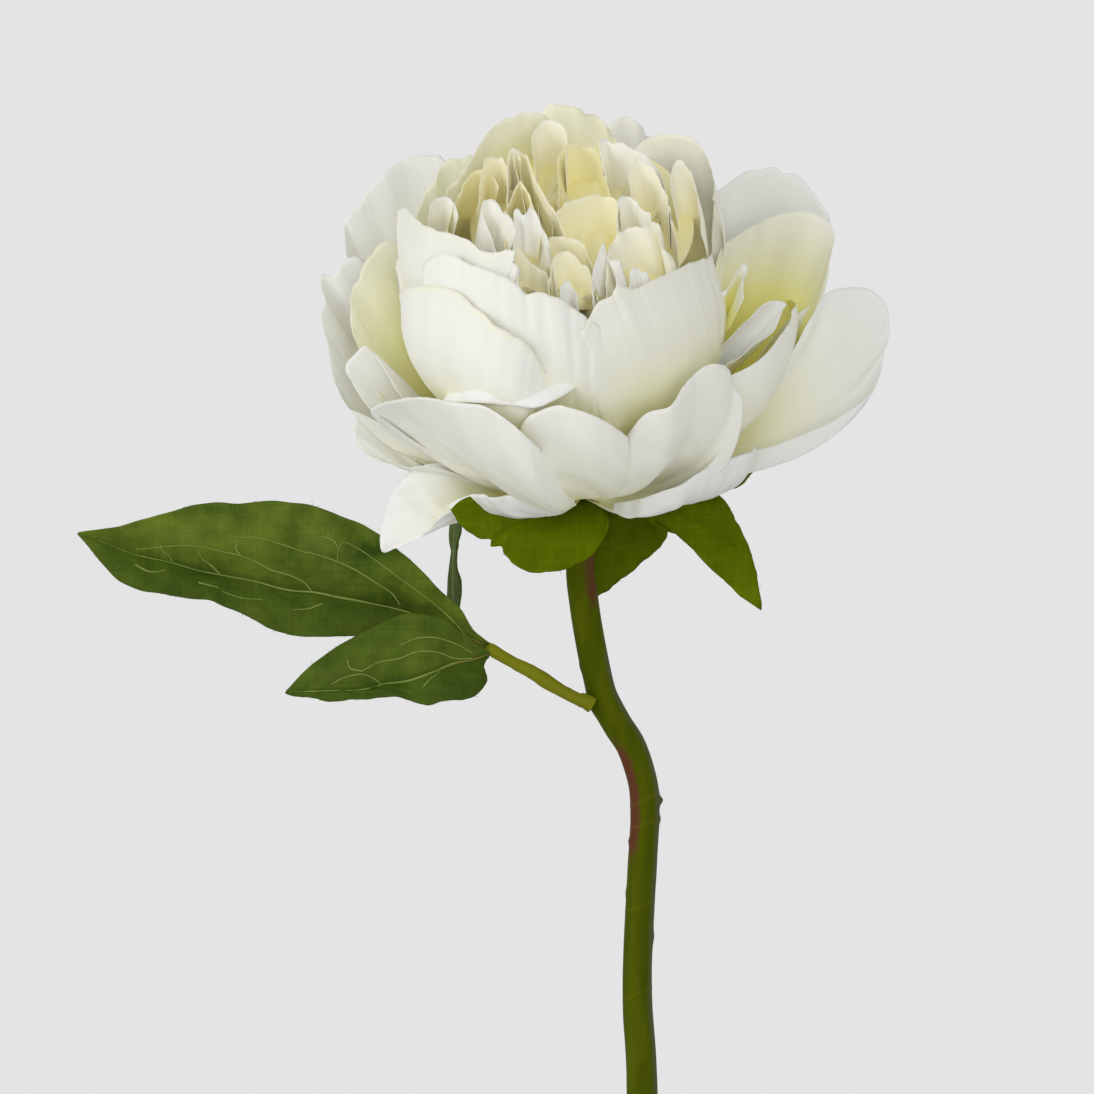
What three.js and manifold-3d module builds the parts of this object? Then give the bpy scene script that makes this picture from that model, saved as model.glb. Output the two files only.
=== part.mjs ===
// A white peony standing in a bud vase.
// Millimetres, +Z up; the origin is the centre of the vase's flat foot and -Y is the front.
import * as THREE from "three";
import { ConvexGeometry } from "three/addons/geometries/ConvexGeometry.js";
import { mergeVertices } from "three/addons/utils/BufferGeometryUtils.js";
import Module from "manifold-3d";

const wasm = await Module();
wasm.setup();

// ---------------------------------------------------------------- driving dimensions
const bloomWidth = 142.25; // across the widest guard petals
const petalThickness = 0.6;
const leafThickness = 0.7;
const clearance = 0.3; // kept between pieces that touch

const stemRadius = 3.7;
const footSeat = { x: 6, y: -13 }; // where the stem's cut end stands in the vase

const vaseHeight = 180;
const vaseFloor = 5;
const lipInnerRadius = 12.5;

const degree = Math.PI / 180;

// ---------------------------------------------------------------- the front view
// A point is [across, down, toward]: the first two are read in the front view, in units of
// unitSize; the third is how far the point lies in front of the plane y = 0, in millimetres.
const bloomUnits = 569; // bloomWidth in these units
const unitSize = bloomWidth / bloomUnits;
const viewDistance = 2400; // from the view point to the plane y = 0, in millimetres
const viewCentre = { across: 547, down: 547 };
const vaseAxisAcross = 640;
const groundDown = 1830;

function at([across, down, toward]) {
  const near = (viewDistance - toward) / viewDistance;
  const right = viewCentre.across - vaseAxisAcross + (across - viewCentre.across) * near;
  const up = groundDown - viewCentre.down + (viewCentre.down - down) * near;
  return new THREE.Vector3(right * unitSize, -toward, up * unitSize);
}

// The bloom grows from its heart along its axis, round a ball of cupped petals.
const heart = at([582, 492, 4]);
const ball = { across: 555, down: 272, toward: 20 };
const bloomAxis = at([ball.across, ball.down, ball.toward]).sub(heart).normalize();

// A rim point with no depth of its own lies on the front of the ball's shell of that radius.
function onShell([across, down, toward], shell) {
  if (toward !== undefined) return at([across, down, toward]);
  const offset = Math.hypot(across - ball.across, down - ball.down) * unitSize;
  const depth = Math.sqrt(Math.max(shell ** 2 - offset ** 2, 0));
  return at([across, down, ball.toward + depth]);
}

// ---------------------------------------------------------------- petals
// rim: the free edge, from one side round to the other
// flare: angle in degrees between the bloom's axis and the petal where it leaves the heart
// lip: the same angle at the rim; below 0 it closes over the middle, above 90 it curls back
// rise: how far up the receptacle the petal is set, in millimetres
const middlePetals = {
  middle_tongue: {
    rim: [[514, 275, 46], [513, 225, 42], [523, 208, 42], [548, 240, 46], [558, 298, 52]],
    flare: 30, lip: -5, rise: 12,
  },
  middle_cream_low: {
    rim: [[562, 300, 50], [556, 268, 48], [564, 244, 47], [588, 266, 50], [597, 290, 52]],
    flare: 30, lip: 0, rise: 12.5,
  },
  middle_arc_front: {
    rim: [[556, 290, 43], [553, 240, 42], [572, 208, 41], [594, 226, 42], [598, 285, 46]],
    flare: 25, lip: 5, rise: 13,
  },
  middle_arc_back: {
    rim: [[553, 255, 32], [558, 208, 33], [588, 192, 32], [619, 202, 33], [620, 255, 34]],
    flare: 20, lip: 10, rise: 13.5,
  },
  middle_tooth_left: {
    rim: [[592, 305, 54], [590, 275, 52], [604, 245, 50], [617, 262, 51], [606, 300, 54]],
    flare: 32, lip: 0, rise: 11.5,
  },
  middle_tooth_right: {
    rim: [[624, 300, 54], [629, 272, 52], [646, 268, 52], [650, 292, 53]],
    flare: 34, lip: 0, rise: 11,
  },
  middle_cream_right: {
    rim: [[604, 300, 50], [610, 245, 46], [640, 224, 46], [668, 240, 46], [672, 285, 48]],
    flare: 30, lip: 0, rise: 12,
  },
  middle_ribbon: {
    rim: [[489, 262, 46], [480, 220, 40], [486, 203, 40], [496, 222, 44], [503, 252, 48]],
    flare: 30, lip: 0, rise: 12,
  },
  middle_strip_upright: {
    rim: [[507, 230, 28], [508, 165, 24], [512, 150, 25], [515, 180, 32], [514, 215, 37]],
    flare: 20, lip: 0, rise: 13,
  },
  middle_strip_slanting: {
    rim: [[535, 235, 32], [519, 175, 29], [516, 147, 29], [545, 184, 36], [565, 240, 41]],
    flare: 20, lip: 5, rise: 14,
  },
  middle_long_left: {
    rim: [[481, 205, 22], [487, 165, 19], [496, 155, 19], [504, 165, 19], [506, 205, 22]],
    flare: 24, lip: -5, rise: 11,
  },
  middle_right_front: {
    rim: [[618, 245, 36], [620, 197, 36], [645, 208, 38], [662, 232, 40], [670, 262, 43]],
    flare: 30, lip: 0, rise: 11.5,
  },
  middle_right_back: {
    rim: [[604, 220, 22], [600, 139, 22], [635, 148, 26], [666, 180, 28], [676, 215, 30]],
    flare: 30, lip: 0, rise: 11,
  },
  middle_right_edge: {
    rim: [[680, 260, 34], [672, 168, 26], [680, 156, 24], [694, 185, 27], [702, 235, 32]],
    flare: 38, lip: -10, rise: 10.5,
  },
  middle_top_strip: {
    rim: [[538, 220, 24], [533, 135, 11], [542, 125, 11], [551, 150, 16], [554, 210, 26]],
    flare: 20, lip: -5, rise: 12.5,
  },
  middle_back_face: {
    rim: [[560, 220, 16], [558, 150, 8], [574, 134, 6], [594, 148, 8], [608, 205, 18]],
    flare: 20, lip: -5, rise: 12,
  },
  middle_small_left: {
    rim: [[428, 240, 16], [433, 202, 16], [447, 194, 18], [456, 212, 22], [458, 240, 26]],
    flare: 45, lip: -20, rise: 10,
  },
};

const cupPetals = {
  cup_back_top: {
    rim: [
      [520, 200, -5], [530, 130, 0], [552, 104, 2], [578, 109, 2], [604, 128, 0], [620, 220, -4],
    ],
    flare: 40, lip: -15, rise: 9.5,
  },
  cup_back_top_left: {
    rim: [
      [440, 300, 4], [445, 230, 4], [468, 172, 6], [502, 127, 3], [528, 115, 4], [560, 150, -4],
    ],
    flare: 45, lip: -25, rise: 9,
  },
  cup_back_right: {
    rim: [
      [620, 200, 0], [640, 146, -2], [670, 136, 0], [701, 154, 2], [713, 205, 0], [716, 260, -6],
      [700, 330, -8],
    ],
    flare: 55, lip: -20, rise: 8.5,
  },
  cup_front_left: {
    rim: [
      [425, 380, 0], [398, 320, 0], [396, 267, 4], [402, 210, 14], [430, 227], [471, 241],
      [506, 251], [512, 262], [520, 300],
    ],
    shell: 38, flare: 58, lip: -30, rise: 8,
  },
  cup_back_right_bump: {
    rim: [[590, 180, -14], [608, 128, -12], [634, 122, -12], [655, 160, -14]],
    flare: 45, lip: -10, rise: 8,
  },
  cup_back_left: {
    rim: [
      [425, 330, -2], [410, 260, -6], [428, 195, -8], [447, 164, -8], [475, 158, -8],
      [505, 200, -12],
    ],
    flare: 55, lip: -10, rise: 7.5,
  },
  cup_front_right: {
    rim: [
      [590, 400, 48], [580, 345, 56], [598, 303], [631, 291], [672, 271], [713, 258, 14],
      [715, 285, 0], [708, 330, -4], [690, 380, 0],
    ],
    shell: 38.6, flare: 60, lip: -25, rise: 7,
  },
  cup_front_middle: {
    rim: [
      [430, 350], [425, 300], [430, 262], [471, 265], [512, 282], [542, 292], [581, 316],
      [611, 361], [604, 420, 40],
    ],
    shell: 40, flare: 58, lip: -35, rise: 6.5,
  },
  cup_front_low: {
    rim: [
      [440, 400, 6], [405, 345, 2], [399, 300, 10], [432, 287], [463, 295], [494, 325],
      [537, 363], [552, 430, 46],
    ],
    shell: 41.5, flare: 62, lip: -35, rise: 6,
  },
};

const leftGuards = {
  guard_left_inner: {
    rim: [
      [400, 420, 14], [362, 360, 8], [352, 310, 4], [362, 271, 0], [390, 240, -4],
      [420, 330, -2],
    ],
    flare: 75, lip: 0, rise: 5.5,
  },
  guard_left_behind: {
    rim: [
      [385, 350, -6], [344, 223, -14], [359, 200, -15], [394, 166, -17], [439, 155, -18],
      [470, 230, -16],
    ],
    flare: 75, lip: 20, rise: 4.5,
  },
  guard_left_white: {
    rim: [
      [425, 450, 22], [375, 412, 16], [345, 366, 13], [366, 345, 12], [404, 400, 16],
      [440, 440, 24],
    ],
    flare: 80, lip: -5, rise: 4,
  },
  guard_left_outer: {
    rim: [
      [420, 440, 10], [347, 408, 8], [326, 338, 4], [319, 314, 2], [324, 273, -4],
      [358, 257, -6], [372, 290, -8], [400, 370, -4],
    ],
    flare: 85, lip: 5, rise: 3,
  },
};

const rightGuards = {
  guard_right_crescent: {
    rim: [
      [690, 345, 22], [706, 318, 21], [725, 303, 19], [738, 287, 18], [747, 264, 16],
      [752, 300, 11], [738, 350, 8],
    ],
    flare: 60, lip: 10, rise: 5.5,
  },
  guard_right_top: {
    rim: [
      [700, 330, -6], [712, 200, -10], [748, 171, -13], [784, 171, -13], [817, 200, -10],
      [829, 225, -8], [810, 300, -4], [760, 380, 0],
    ],
    flare: 72, lip: 15, rise: 4.5,
  },
  guard_right_tongue: {
    rim: [
      [684, 395, 25], [700, 355, 26], [735, 325, 25], [786, 299, 20], [784, 325, 15],
      [755, 375, 12], [725, 410, 12],
    ],
    flare: 65, lip: 10, rise: 5,
  },
  guard_right_upper: {
    rim: [
      [705, 350, 0], [722, 248, -4], [757, 223, -4], [804, 211, 0], [835, 237, 4],
      [829, 280, 5], [815, 310, 6], [775, 380, 6],
    ],
    flare: 75, lip: 20, rise: 4,
  },
  guard_right_cup: {
    rim: [
      [690, 398, 36], [733, 373, 34], [778, 340, 26], [791, 312, 17], [793, 304, 8],
      [780, 318, -4],
    ],
    flare: 84, lip: 0, rise: 3,
  },
  guard_far_right: {
    rim: [
      [720, 420, 4], [780, 330, 2], [824, 294, 0], [871, 290, 1], [889, 330, 4],
      [880, 373, 6], [848, 412, 8], [790, 440, 8], [720, 460, 8],
    ],
    flare: 92, lip: 35, rise: 2,
  },
  guard_far_right_under: {
    rim: [
      [700, 430, 0], [770, 410, 0], [834, 425, 0], [806, 445, 1], [757, 452, 1],
      [700, 470, 2],
    ],
    flare: 95, lip: 40, rise: 1,
  },
};

const frontGuards = {
  guard_front_lip: {
    rim: [
      [455, 440, 40], [432, 401, 50], [491, 407, 60], [549, 401, 62], [583, 384, 58],
      [600, 440, 36],
    ],
    flare: 70, lip: 120, rise: 4.5,
  },
  guard_front_middle: {
    rim: [
      [560, 474, 28], [520, 432, 54], [541, 411, 59], [587, 413, 60], [628, 438, 53],
      [596, 478, 22],
    ],
    flare: 80, lip: 5, rise: 3.5,
  },
  guard_front_right: {
    rim: [
      [598, 480, 20], [626, 434, 52], [670, 407, 56], [704, 366, 50], [733, 380, 38],
      [728, 430, 28], [705, 462, 26], [650, 495, 16],
    ],
    flare: 84, lip: 5, rise: 2.3,
  },
  guard_front_left: {
    rim: [
      [500, 497, 20], [440, 476, 28], [374, 432, 24], [385, 401, 26], [432, 399, 42],
      [491, 408, 58], [530, 440, 58], [570, 480, 28],
    ],
    flare: 86, lip: 5, rise: 2,
  },
  guard_left_under: {
    rim: [
      [480, 470, 8], [405, 467, 10], [371, 459, 10], [354, 430, 6], [371, 407, 4],
      [450, 430, 0],
    ],
    flare: 88, lip: 5, rise: 1,
  },
  guard_right_under: {
    rim: [
      [757, 446, 14], [735, 458, 24], [704, 472, 31], [680, 484, 34], [650, 496, 32],
      [615, 503, 20],
    ],
    flare: 94, lip: 10, rise: 0.5,
  },
  guard_left_lip: {
    rim: [[449, 504, 10], [468, 498, 18], [495, 497, 25], [530, 500, 27], [560, 502, 20]],
    flare: 98, lip: 20, rise: 0,
  },
  guard_left_droop: {
    rim: [
      [462, 506, 12], [424, 533, 14], [382, 552, 14], [381, 525, 13], [394, 491, 10],
      [412, 470, 7],
    ],
    flare: 96, lip: 110, rise: 0,
  },
};

const backGuards = {
  guard_back_upper: {
    rim: [
      [470, 380, -26], [470, 260, -40], [510, 205, -42], [560, 190, -43], [610, 205, -42],
      [640, 260, -38], [630, 380, -24],
    ],
    flare: 60, lip: 0, rise: 5,
  },
  guard_back_left: {
    rim: [
      [400, 400, -20], [385, 310, -36], [415, 250, -48], [470, 235, -54], [520, 245, -56],
      [550, 300, -50], [555, 390, -24],
    ],
    flare: 75, lip: 15, rise: 3.5,
  },
  guard_back_right: {
    rim: [
      [570, 390, -24], [580, 290, -48], [620, 240, -54], [670, 235, -52], [712, 262, -42],
      [722, 330, -32], [700, 400, -16],
    ],
    flare: 75, lip: 15, rise: 2.5,
  },
  guard_back_low: {
    rim: [
      [430, 450, -12], [425, 400, -42], [480, 370, -60], [560, 362, -66], [640, 372, -60],
      [705, 405, -42], [690, 450, -16],
    ],
    flare: 88, lip: 30, rise: 1,
  },
};

const sepals = {
  sepal_front: {
    rim: [
      [451, 510, 20], [484, 540, 20], [512, 560, 20], [550, 573, 20], [595, 552, 18],
      [609, 514, 12],
    ],
    flare: 102, lip: 125, rise: -0.4,
  },
  sepal_right: {
    rim: [
      [655, 523, 8], [706, 561, 12], [760, 608, 14], [755, 568, 12], [735, 516, 8],
      [720, 495, 6],
    ],
    flare: 100, lip: 125, rise: -0.4,
  },
  sepal_behind: {
    rim: [[592, 598, -8], [617, 583, -10], [657, 550, -13], [670, 533, -13], [660, 515, -11]],
    flare: 105, lip: 150, rise: -0.4,
  },
  sepal_small: {
    rim: [[726, 492, -8], [742, 485, -10], [756, 467, -11], [753, 450, -11], [730, 455, -9]],
    flare: 98, lip: 90, rise: -0.4,
  },
};

// ---------------------------------------------------------------- leaf, stem and vase outlines
// left, right: a leaflet's two edges, each from its stalk to its tip
// fold: how far the midrib lies behind the edges, in millimetres
const leaflets = {
  leaflet_large: {
    left: [
      [486, 644, 6], [447, 598, 8], [380, 535, 12], [301, 504, 16], [211, 503, 20],
      [144, 519, 22], [79, 531, 22],
    ],
    right: [
      [484, 648, 6], [420, 645, 6], [355, 636, 8], [284, 633, 12], [217, 603, 18],
      [139, 590, 22], [78, 534, 22],
    ],
    fold: 3,
  },
  leaflet_front: {
    left: [
      [488, 650, 7], [453, 624, 13], [402, 615, 16], [357, 636, 18], [313, 662, 18],
      [287, 691, 18],
    ],
    right: [
      [491, 655, 7], [481, 689, 12], [453, 699, 15], [400, 699, 17], [340, 701, 18],
      [286, 694, 18],
    ],
    fold: 2.5,
  },
  leaflet_edge_on: {
    left: [
      [486, 648, 5], [459, 620, 2], [455, 570, -4], [457, 520, -14], [456, 480, -26],
      [456, 452, -36],
    ],
    right: [
      [486, 650, 2], [451, 610, -20], [448, 560, -34], [447, 515, -40], [448, 480, -42],
      [454, 452, -38],
    ],
    fold: 1,
  },
};

// The stem from the vase's lip up to the bloom; each point ends with the stem's radius there.
const stemPoints = [
  [642.5, 1110, 0, 3.9],
  [641, 1060, -9.6, 3.85],
  [637, 985, -11.5, 3.6],
  [640.5, 910, -12.4, 3.6],
  [644.5, 850, -12.2, 3.7],
  [644.5, 800, -11.6, 3.9],
  [636, 760, -10.8, 3.6],
  [610, 710, -9.4, 3.6],
  [596, 670, -8, 3.5],
  [586, 622, -5.6, 3.45],
  [581, 565, -2, 3.45],
];
const petiolePoints = [
  [590, 704, -5.6, 1.9],
  [576, 698, -5, 1.5],
  [545, 679, -2, 1.2],
  [515, 662, 2, 1.1],
  [489, 650, 5.5, 1.5],
];

// Radius and height up the outside of the vase, then up the inside.
const vaseOutside = [
  [25.5, 0.9], [33.5, 18], [38.8, 40], [40, 58], [37.6, 82], [30, 106], [20.4, 127],
  [15.2, 144], [14, 157], [14.4, 168], [16, 178.8],
];
const vaseInside = [
  [22.4, 8.5], [30, 20], [35.2, 41], [36.4, 58], [34, 81], [26.6, 104], [17, 125],
  [11.8, 142], [10.5, 157], [10.9, 168], [12.5, 178.8],
];

// Radius and height of the receptacle, the green cone that carries the petals.
const receptacleProfile = [
  [0, -1.2], [4.4, -1.2], [6.6, 0.2], [7, 2.5], [7.2, 6], [7.8, 10], [7.4, 13], [5.6, 15.6],
  [2.6, 17.2], [0, 17.6],
];

// ---------------------------------------------------------------- surfaces
const petalSteps = { across: 6, out: 4 };
const leafSteps = { across: 4, out: 8 };

function curveThrough(points, steps) {
  return new THREE.CatmullRomCurve3(points, false, "centripetal").getSpacedPoints(steps);
}

function receptacleRadius(rise) {
  const above = receptacleProfile.findIndex(([, height], i) => i > 1 && height >= rise);
  const [r0, z0] = receptacleProfile[above - 1];
  const [r1, z1] = receptacleProfile[above];
  return r0 + ((r1 - r0) * (rise - z0)) / (z1 - z0);
}

function awayFromAxis(point) {
  const arm = point.clone().sub(heart);
  return arm.addScaledVector(bloomAxis, -arm.dot(bloomAxis)).normalize();
}

function direction(outward, angle) {
  return bloomAxis
    .clone()
    .multiplyScalar(Math.cos(angle * degree))
    .addScaledVector(outward, Math.sin(angle * degree));
}

// A petal is a fan of ribs: each leaves the receptacle at the flare angle and ends on the rim.
// gather draws the ribs' roots together, until at 1 they stand side by side on a narrow claw.
const clawWidth = 2.4;

function petalGrid({ rim, shell, flare, lip, rise, gather = 0.4 }) {
  const edge = curveThrough(rim.map((point) => onShell(point, shell)), petalSteps.across);
  const middle = awayFromAxis(edge[Math.floor(edge.length / 2)]);
  const sideways = bloomAxis.clone().cross(middle);
  sideways.multiplyScalar(Math.sign(edge.at(-1).clone().sub(edge[0]).dot(sideways)));
  return edge.map((end, i) => {
    const outward = awayFromAxis(end).lerp(middle, gather).normalize();
    const root = heart
      .clone()
      .addScaledVector(bloomAxis, rise)
      .addScaledVector(outward, receptacleRadius(rise) - clearance)
      .addScaledVector(sideways, clawWidth * gather * (i / petalSteps.across - 0.5));
    const reach = end.distanceTo(root);
    const leaving = root.clone().addScaledVector(direction(outward, flare), reach * 0.45);
    const arriving = end.clone().addScaledVector(direction(outward, lip), reach * -0.4);
    return new THREE.CubicBezierCurve3(root, leaving, arriving, end).getPoints(petalSteps.out);
  });
}

// A leaflet spans its two edges, with the midrib set back by the fold.
function leafGrid({ left, right, fold }) {
  const leftEdge = curveThrough(left.map(at), leafSteps.out);
  const rightEdge = curveThrough(right.map(at), leafSteps.out);
  const columns = [];
  for (let i = 0; i <= leafSteps.across; i++) {
    const share = i / leafSteps.across;
    const depth = fold * (1 - Math.abs(2 * share - 1));
    columns.push(
      leftEdge.map((point, j) => {
        const ends = Math.sin((Math.PI * j) / leafSteps.out);
        const spot = point.clone().lerp(rightEdge[j], share);
        spot.y += depth * ends;
        return spot;
      }),
    );
  }
  return columns;
}

function normalAt(grid, i, j) {
  const across = grid[Math.min(i + 1, grid.length - 1)][j].clone();
  across.sub(grid[Math.max(i - 1, 0)][j]);
  const out = grid[i][Math.min(j + 1, grid[i].length - 1)].clone();
  out.sub(grid[i][Math.max(j - 1, 0)]);
  return across.cross(out).normalize();
}

// The same surface, reaching a little past its own edges.
function grown(grid, margin) {
  const wider = grid.map((column) => column.map((point) => point.clone()));
  const columns = grid.length - 1;
  const rows = grid[0].length - 1;
  const push = (i, j, fromI, fromJ) => {
    const away = grid[i][j].clone().sub(grid[fromI][fromJ]).normalize();
    wider[i][j].addScaledVector(away, margin);
  };
  for (let i = 0; i <= columns; i++) push(i, rows, i, rows - 1);
  for (let j = 0; j <= rows; j++) {
    push(0, j, 1, j);
    push(columns, j, columns - 1, j);
  }
  return wider;
}

// ---------------------------------------------------------------- solids
// Joins the corners that lie within weld of each other and drops the triangles that vanish.
const weld = 2e-3;

function welded(geometry) {
  const bare = new THREE.BufferGeometry();
  bare.setAttribute("position", geometry.getAttribute("position"));
  bare.setIndex(geometry.index);
  const merged = mergeVertices(bare, weld);
  const corners = [];
  for (let i = 0; i < merged.index.count; i += 3) {
    const [a, b, c] = [0, 1, 2].map((k) => merged.index.getX(i + k));
    if (a !== b && b !== c && c !== a) corners.push(a, b, c);
  }
  return merged.setIndex(corners);
}

function toSolid(geometry) {
  const bare = welded(geometry);
  return new wasm.Manifold(
    new wasm.Mesh({
      numProp: 3,
      vertProperties: new Float32Array(bare.getAttribute("position").array),
      triVerts: new Uint32Array(bare.index.array),
    }),
  );
}

function toGeometry(solid) {
  const { vertProperties, triVerts } = solid.getMesh();
  const geometry = new THREE.BufferGeometry();
  geometry.setAttribute("position", new THREE.BufferAttribute(vertProperties, 3));
  geometry.setIndex(new THREE.BufferAttribute(triVerts, 1));
  const bare = welded(geometry);
  bare.computeVertexNormals();
  return bare;
}

function indexed(points, corners) {
  const geometry = new THREE.BufferGeometry().setFromPoints(points);
  return geometry.setIndex(corners);
}

// A grid of points thickened to both sides: each of its cells is a convex block, and all are joined.
function slab(grid, thickness) {
  const [above, below] = [0.5, -0.5].map((side) =>
    grid.map((column, i) =>
      column.map((point, j) =>
        point.clone().addScaledVector(normalAt(grid, i, j), side * thickness),
      ),
    ),
  );
  const cells = [];
  for (let i = 0; i < grid.length - 1; i++) {
    for (let j = 0; j < grid[0].length - 1; j++) {
      const corners = [above, below].flatMap((side) => [
        side[i][j],
        side[i + 1][j],
        side[i + 1][j + 1],
        side[i][j + 1],
      ]);
      cells.push(toSolid(new ConvexGeometry(corners)));
    }
  }
  return cells.reduce((joined, cell) => joined.add(cell));
}

// A round rod through centres, with a radius at each.
function rod(centres, radii, sides) {
  const points = [];
  centres.forEach((centre, k) => {
    const before = centres[Math.max(k - 1, 0)];
    const after = centres[Math.min(k + 1, centres.length - 1)];
    const along = after.clone().sub(before).normalize();
    const across = new THREE.Vector3(0, 1, 0).cross(along).normalize();
    const back = along.clone().cross(across);
    for (let s = 0; s < sides; s++) {
      const turn = (2 * Math.PI * s) / sides;
      points.push(
        centre
          .clone()
          .addScaledVector(across, radii[k] * Math.cos(turn))
          .addScaledVector(back, radii[k] * Math.sin(turn)),
      );
    }
  });
  const last = centres.length - 1;
  const corners = [];
  for (let k = 0; k < last; k++) {
    for (let s = 0; s < sides; s++) {
      const [a, b] = [k * sides + s, k * sides + ((s + 1) % sides)];
      corners.push(a, b, b + sides, a, b + sides, a + sides);
    }
  }
  const [low, high] = [points.length, points.length + 1];
  points.push(centres[0], centres[last]);
  for (let s = 0; s < sides; s++) {
    const next = (s + 1) % sides;
    corners.push(low, next, s, high, last * sides + s, last * sides + next);
  }
  return toSolid(indexed(points, corners));
}

function rodThrough(entries, steps, sides) {
  const path = new THREE.CatmullRomCurve3(entries.map(({ point }) => point), false, "centripetal");
  const girth = new THREE.CatmullRomCurve3(
    entries.map(({ radius }, i) => new THREE.Vector3(radius, i, 0)),
  );
  const centres = [];
  const radii = [];
  for (let k = 0; k <= steps; k++) {
    centres.push(path.getPoint(k / steps));
    radii.push(girth.getPoint(k / steps).x);
  }
  return rod(centres, radii, sides);
}

function turned(profile, segments) {
  return new THREE.LatheGeometry(profile.map(([r, z]) => new THREE.Vector2(r, z)), segments);
}

function receptacle(extra) {
  const profile = receptacleProfile.map(([r, z], i, all) => {
    const end = i === 0 || i === all.length - 1;
    return [end ? 0 : r + extra, z + (z < 0 ? -extra : z > 17 ? extra : 0)];
  });
  const geometry = turned(profile, 14);
  const up = new THREE.Quaternion().setFromUnitVectors(new THREE.Vector3(0, 1, 0), bloomAxis);
  geometry.applyQuaternion(up).translate(heart.x, heart.y, heart.z);
  return toSolid(geometry);
}

function vase() {
  const smooth = (points, steps) =>
    new THREE.SplineCurve(points.map(([r, z]) => new THREE.Vector2(r, z)))
      .getPoints(steps)
      .map(({ x, y }) => [x, y]);
  const profile = [
    [0, 0],
    [24.5, 0],
    ...smooth(vaseOutside, 14),
    [15.3, vaseHeight],
    [13.3, vaseHeight],
    ...smooth(vaseInside, 13).reverse(),
    [18, vaseFloor],
    [0, vaseFloor],
  ];
  const geometry = turned(profile, 28).rotateX(90 * degree);
  return toSolid(geometry);
}

function stem(extra) {
  const lean = lipInnerRadius - clearance - stemPoints[0][3];
  const foot = new THREE.Vector3(footSeat.x, footSeat.y, vaseFloor + clearance + 0.5);
  const entries = stemPoints.map(([across, down, toward, radius]) => ({
    point: at([across, down, toward]),
    radius: radius + extra,
  }));
  entries[0].point.y = lean;
  const halfway = foot.clone().lerp(entries[0].point, 0.5);
  const neck = heart.clone().addScaledVector(bloomAxis, receptacleProfile[0][1] - 2 * clearance);
  return rodThrough(
    [
      { point: foot, radius: stemRadius + extra },
      { point: halfway, radius: stemRadius + extra },
      ...entries,
      { point: neck, radius: stemRadius + extra },
    ],
    28,
    10,
  );
}

function petiole(extra) {
  const entries = petiolePoints.map(([across, down, toward, radius]) => ({
    point: at([across, down, toward]),
    radius: radius + extra,
  }));
  return rodThrough(entries, 10, 8);
}

// ---------------------------------------------------------------- assembly
const colours = {
  petal: { color: 0xf1f0e6, roughness: 0.75, metalness: 0 },
  cream: { color: 0xede9c2, roughness: 0.75, metalness: 0 },
  leaf: { color: 0x2f5216, roughness: 0.5, metalness: 0 },
  stem: { color: 0x55701f, roughness: 0.45, metalness: 0 },
  glaze: { color: 0xf3f2ee, roughness: 0.15, metalness: 0 },
};

const peony = new THREE.Group();
const placed = []; // what later pieces are cut clear of: { solid, box }

function overlaps(a, b) {
  return [0, 1, 2].every((k) => a.min[k] < b.max[k] && b.min[k] < a.max[k]);
}

function largest(solid) {
  return solid.decompose().sort((a, b) => b.volume() - a.volume())[0];
}

// Cuts a piece clear of everything placed before it, then places it.
function place(name, finish, solid, reach) {
  let piece = solid;
  for (const other of placed) {
    if (overlaps(piece.boundingBox(), other.boundingBox())) {
      piece = piece.subtract(other);
    }
  }
  const mesh = new THREE.Mesh(
    toGeometry(largest(piece)),
    new THREE.MeshStandardMaterial(colours[finish]),
  );
  mesh.name = name;
  peony.add(mesh);
  placed.push(reach);
}

function placeGrid(name, finish, grid, thickness) {
  const piece = slab(grid, thickness);
  const reach = slab(grown(grid, clearance), thickness + 2 * clearance).add(piece);
  place(name, finish, piece, reach);
}

place("vase", "glaze", vase(), vase());
place("receptacle", "stem", receptacle(0), receptacle(clearance));
place("stem", "stem", stem(0), stem(clearance));
place("petiole", "stem", petiole(0), petiole(clearance));
for (const [name, petal] of Object.entries(middlePetals)) {
  placeGrid(name, "cream", petalGrid({ ...petal, gather: 1 }), petalThickness);
}
for (const group of [cupPetals, leftGuards, rightGuards, frontGuards, backGuards]) {
  for (const [name, petal] of Object.entries(group)) {
    placeGrid(name, "petal", petalGrid(petal), petalThickness);
  }
}
for (const [name, sepal] of Object.entries(sepals)) {
  placeGrid(name, "leaf", petalGrid(sepal), leafThickness);
}
for (const [name, leaflet] of Object.entries(leaflets)) {
  placeGrid(name, "leaf", leafGrid(leaflet), leafThickness);
}

export default peony;
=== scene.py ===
import math

import bpy
import numpy as np
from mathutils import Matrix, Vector


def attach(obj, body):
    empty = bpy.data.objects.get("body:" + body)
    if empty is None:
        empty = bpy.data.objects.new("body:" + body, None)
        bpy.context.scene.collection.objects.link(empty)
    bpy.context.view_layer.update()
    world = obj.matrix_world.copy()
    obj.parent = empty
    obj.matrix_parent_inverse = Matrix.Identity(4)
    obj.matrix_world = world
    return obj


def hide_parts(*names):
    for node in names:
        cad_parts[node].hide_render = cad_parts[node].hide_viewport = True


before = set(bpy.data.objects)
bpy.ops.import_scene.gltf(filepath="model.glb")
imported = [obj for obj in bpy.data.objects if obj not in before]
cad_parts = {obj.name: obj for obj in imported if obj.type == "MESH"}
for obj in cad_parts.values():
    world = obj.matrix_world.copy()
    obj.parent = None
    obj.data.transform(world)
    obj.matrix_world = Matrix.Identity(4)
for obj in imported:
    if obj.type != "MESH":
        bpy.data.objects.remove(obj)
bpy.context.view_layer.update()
scene = bpy.context.scene
print("frame loaded:", len(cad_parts), "nodes")

mm = 0.001

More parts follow.
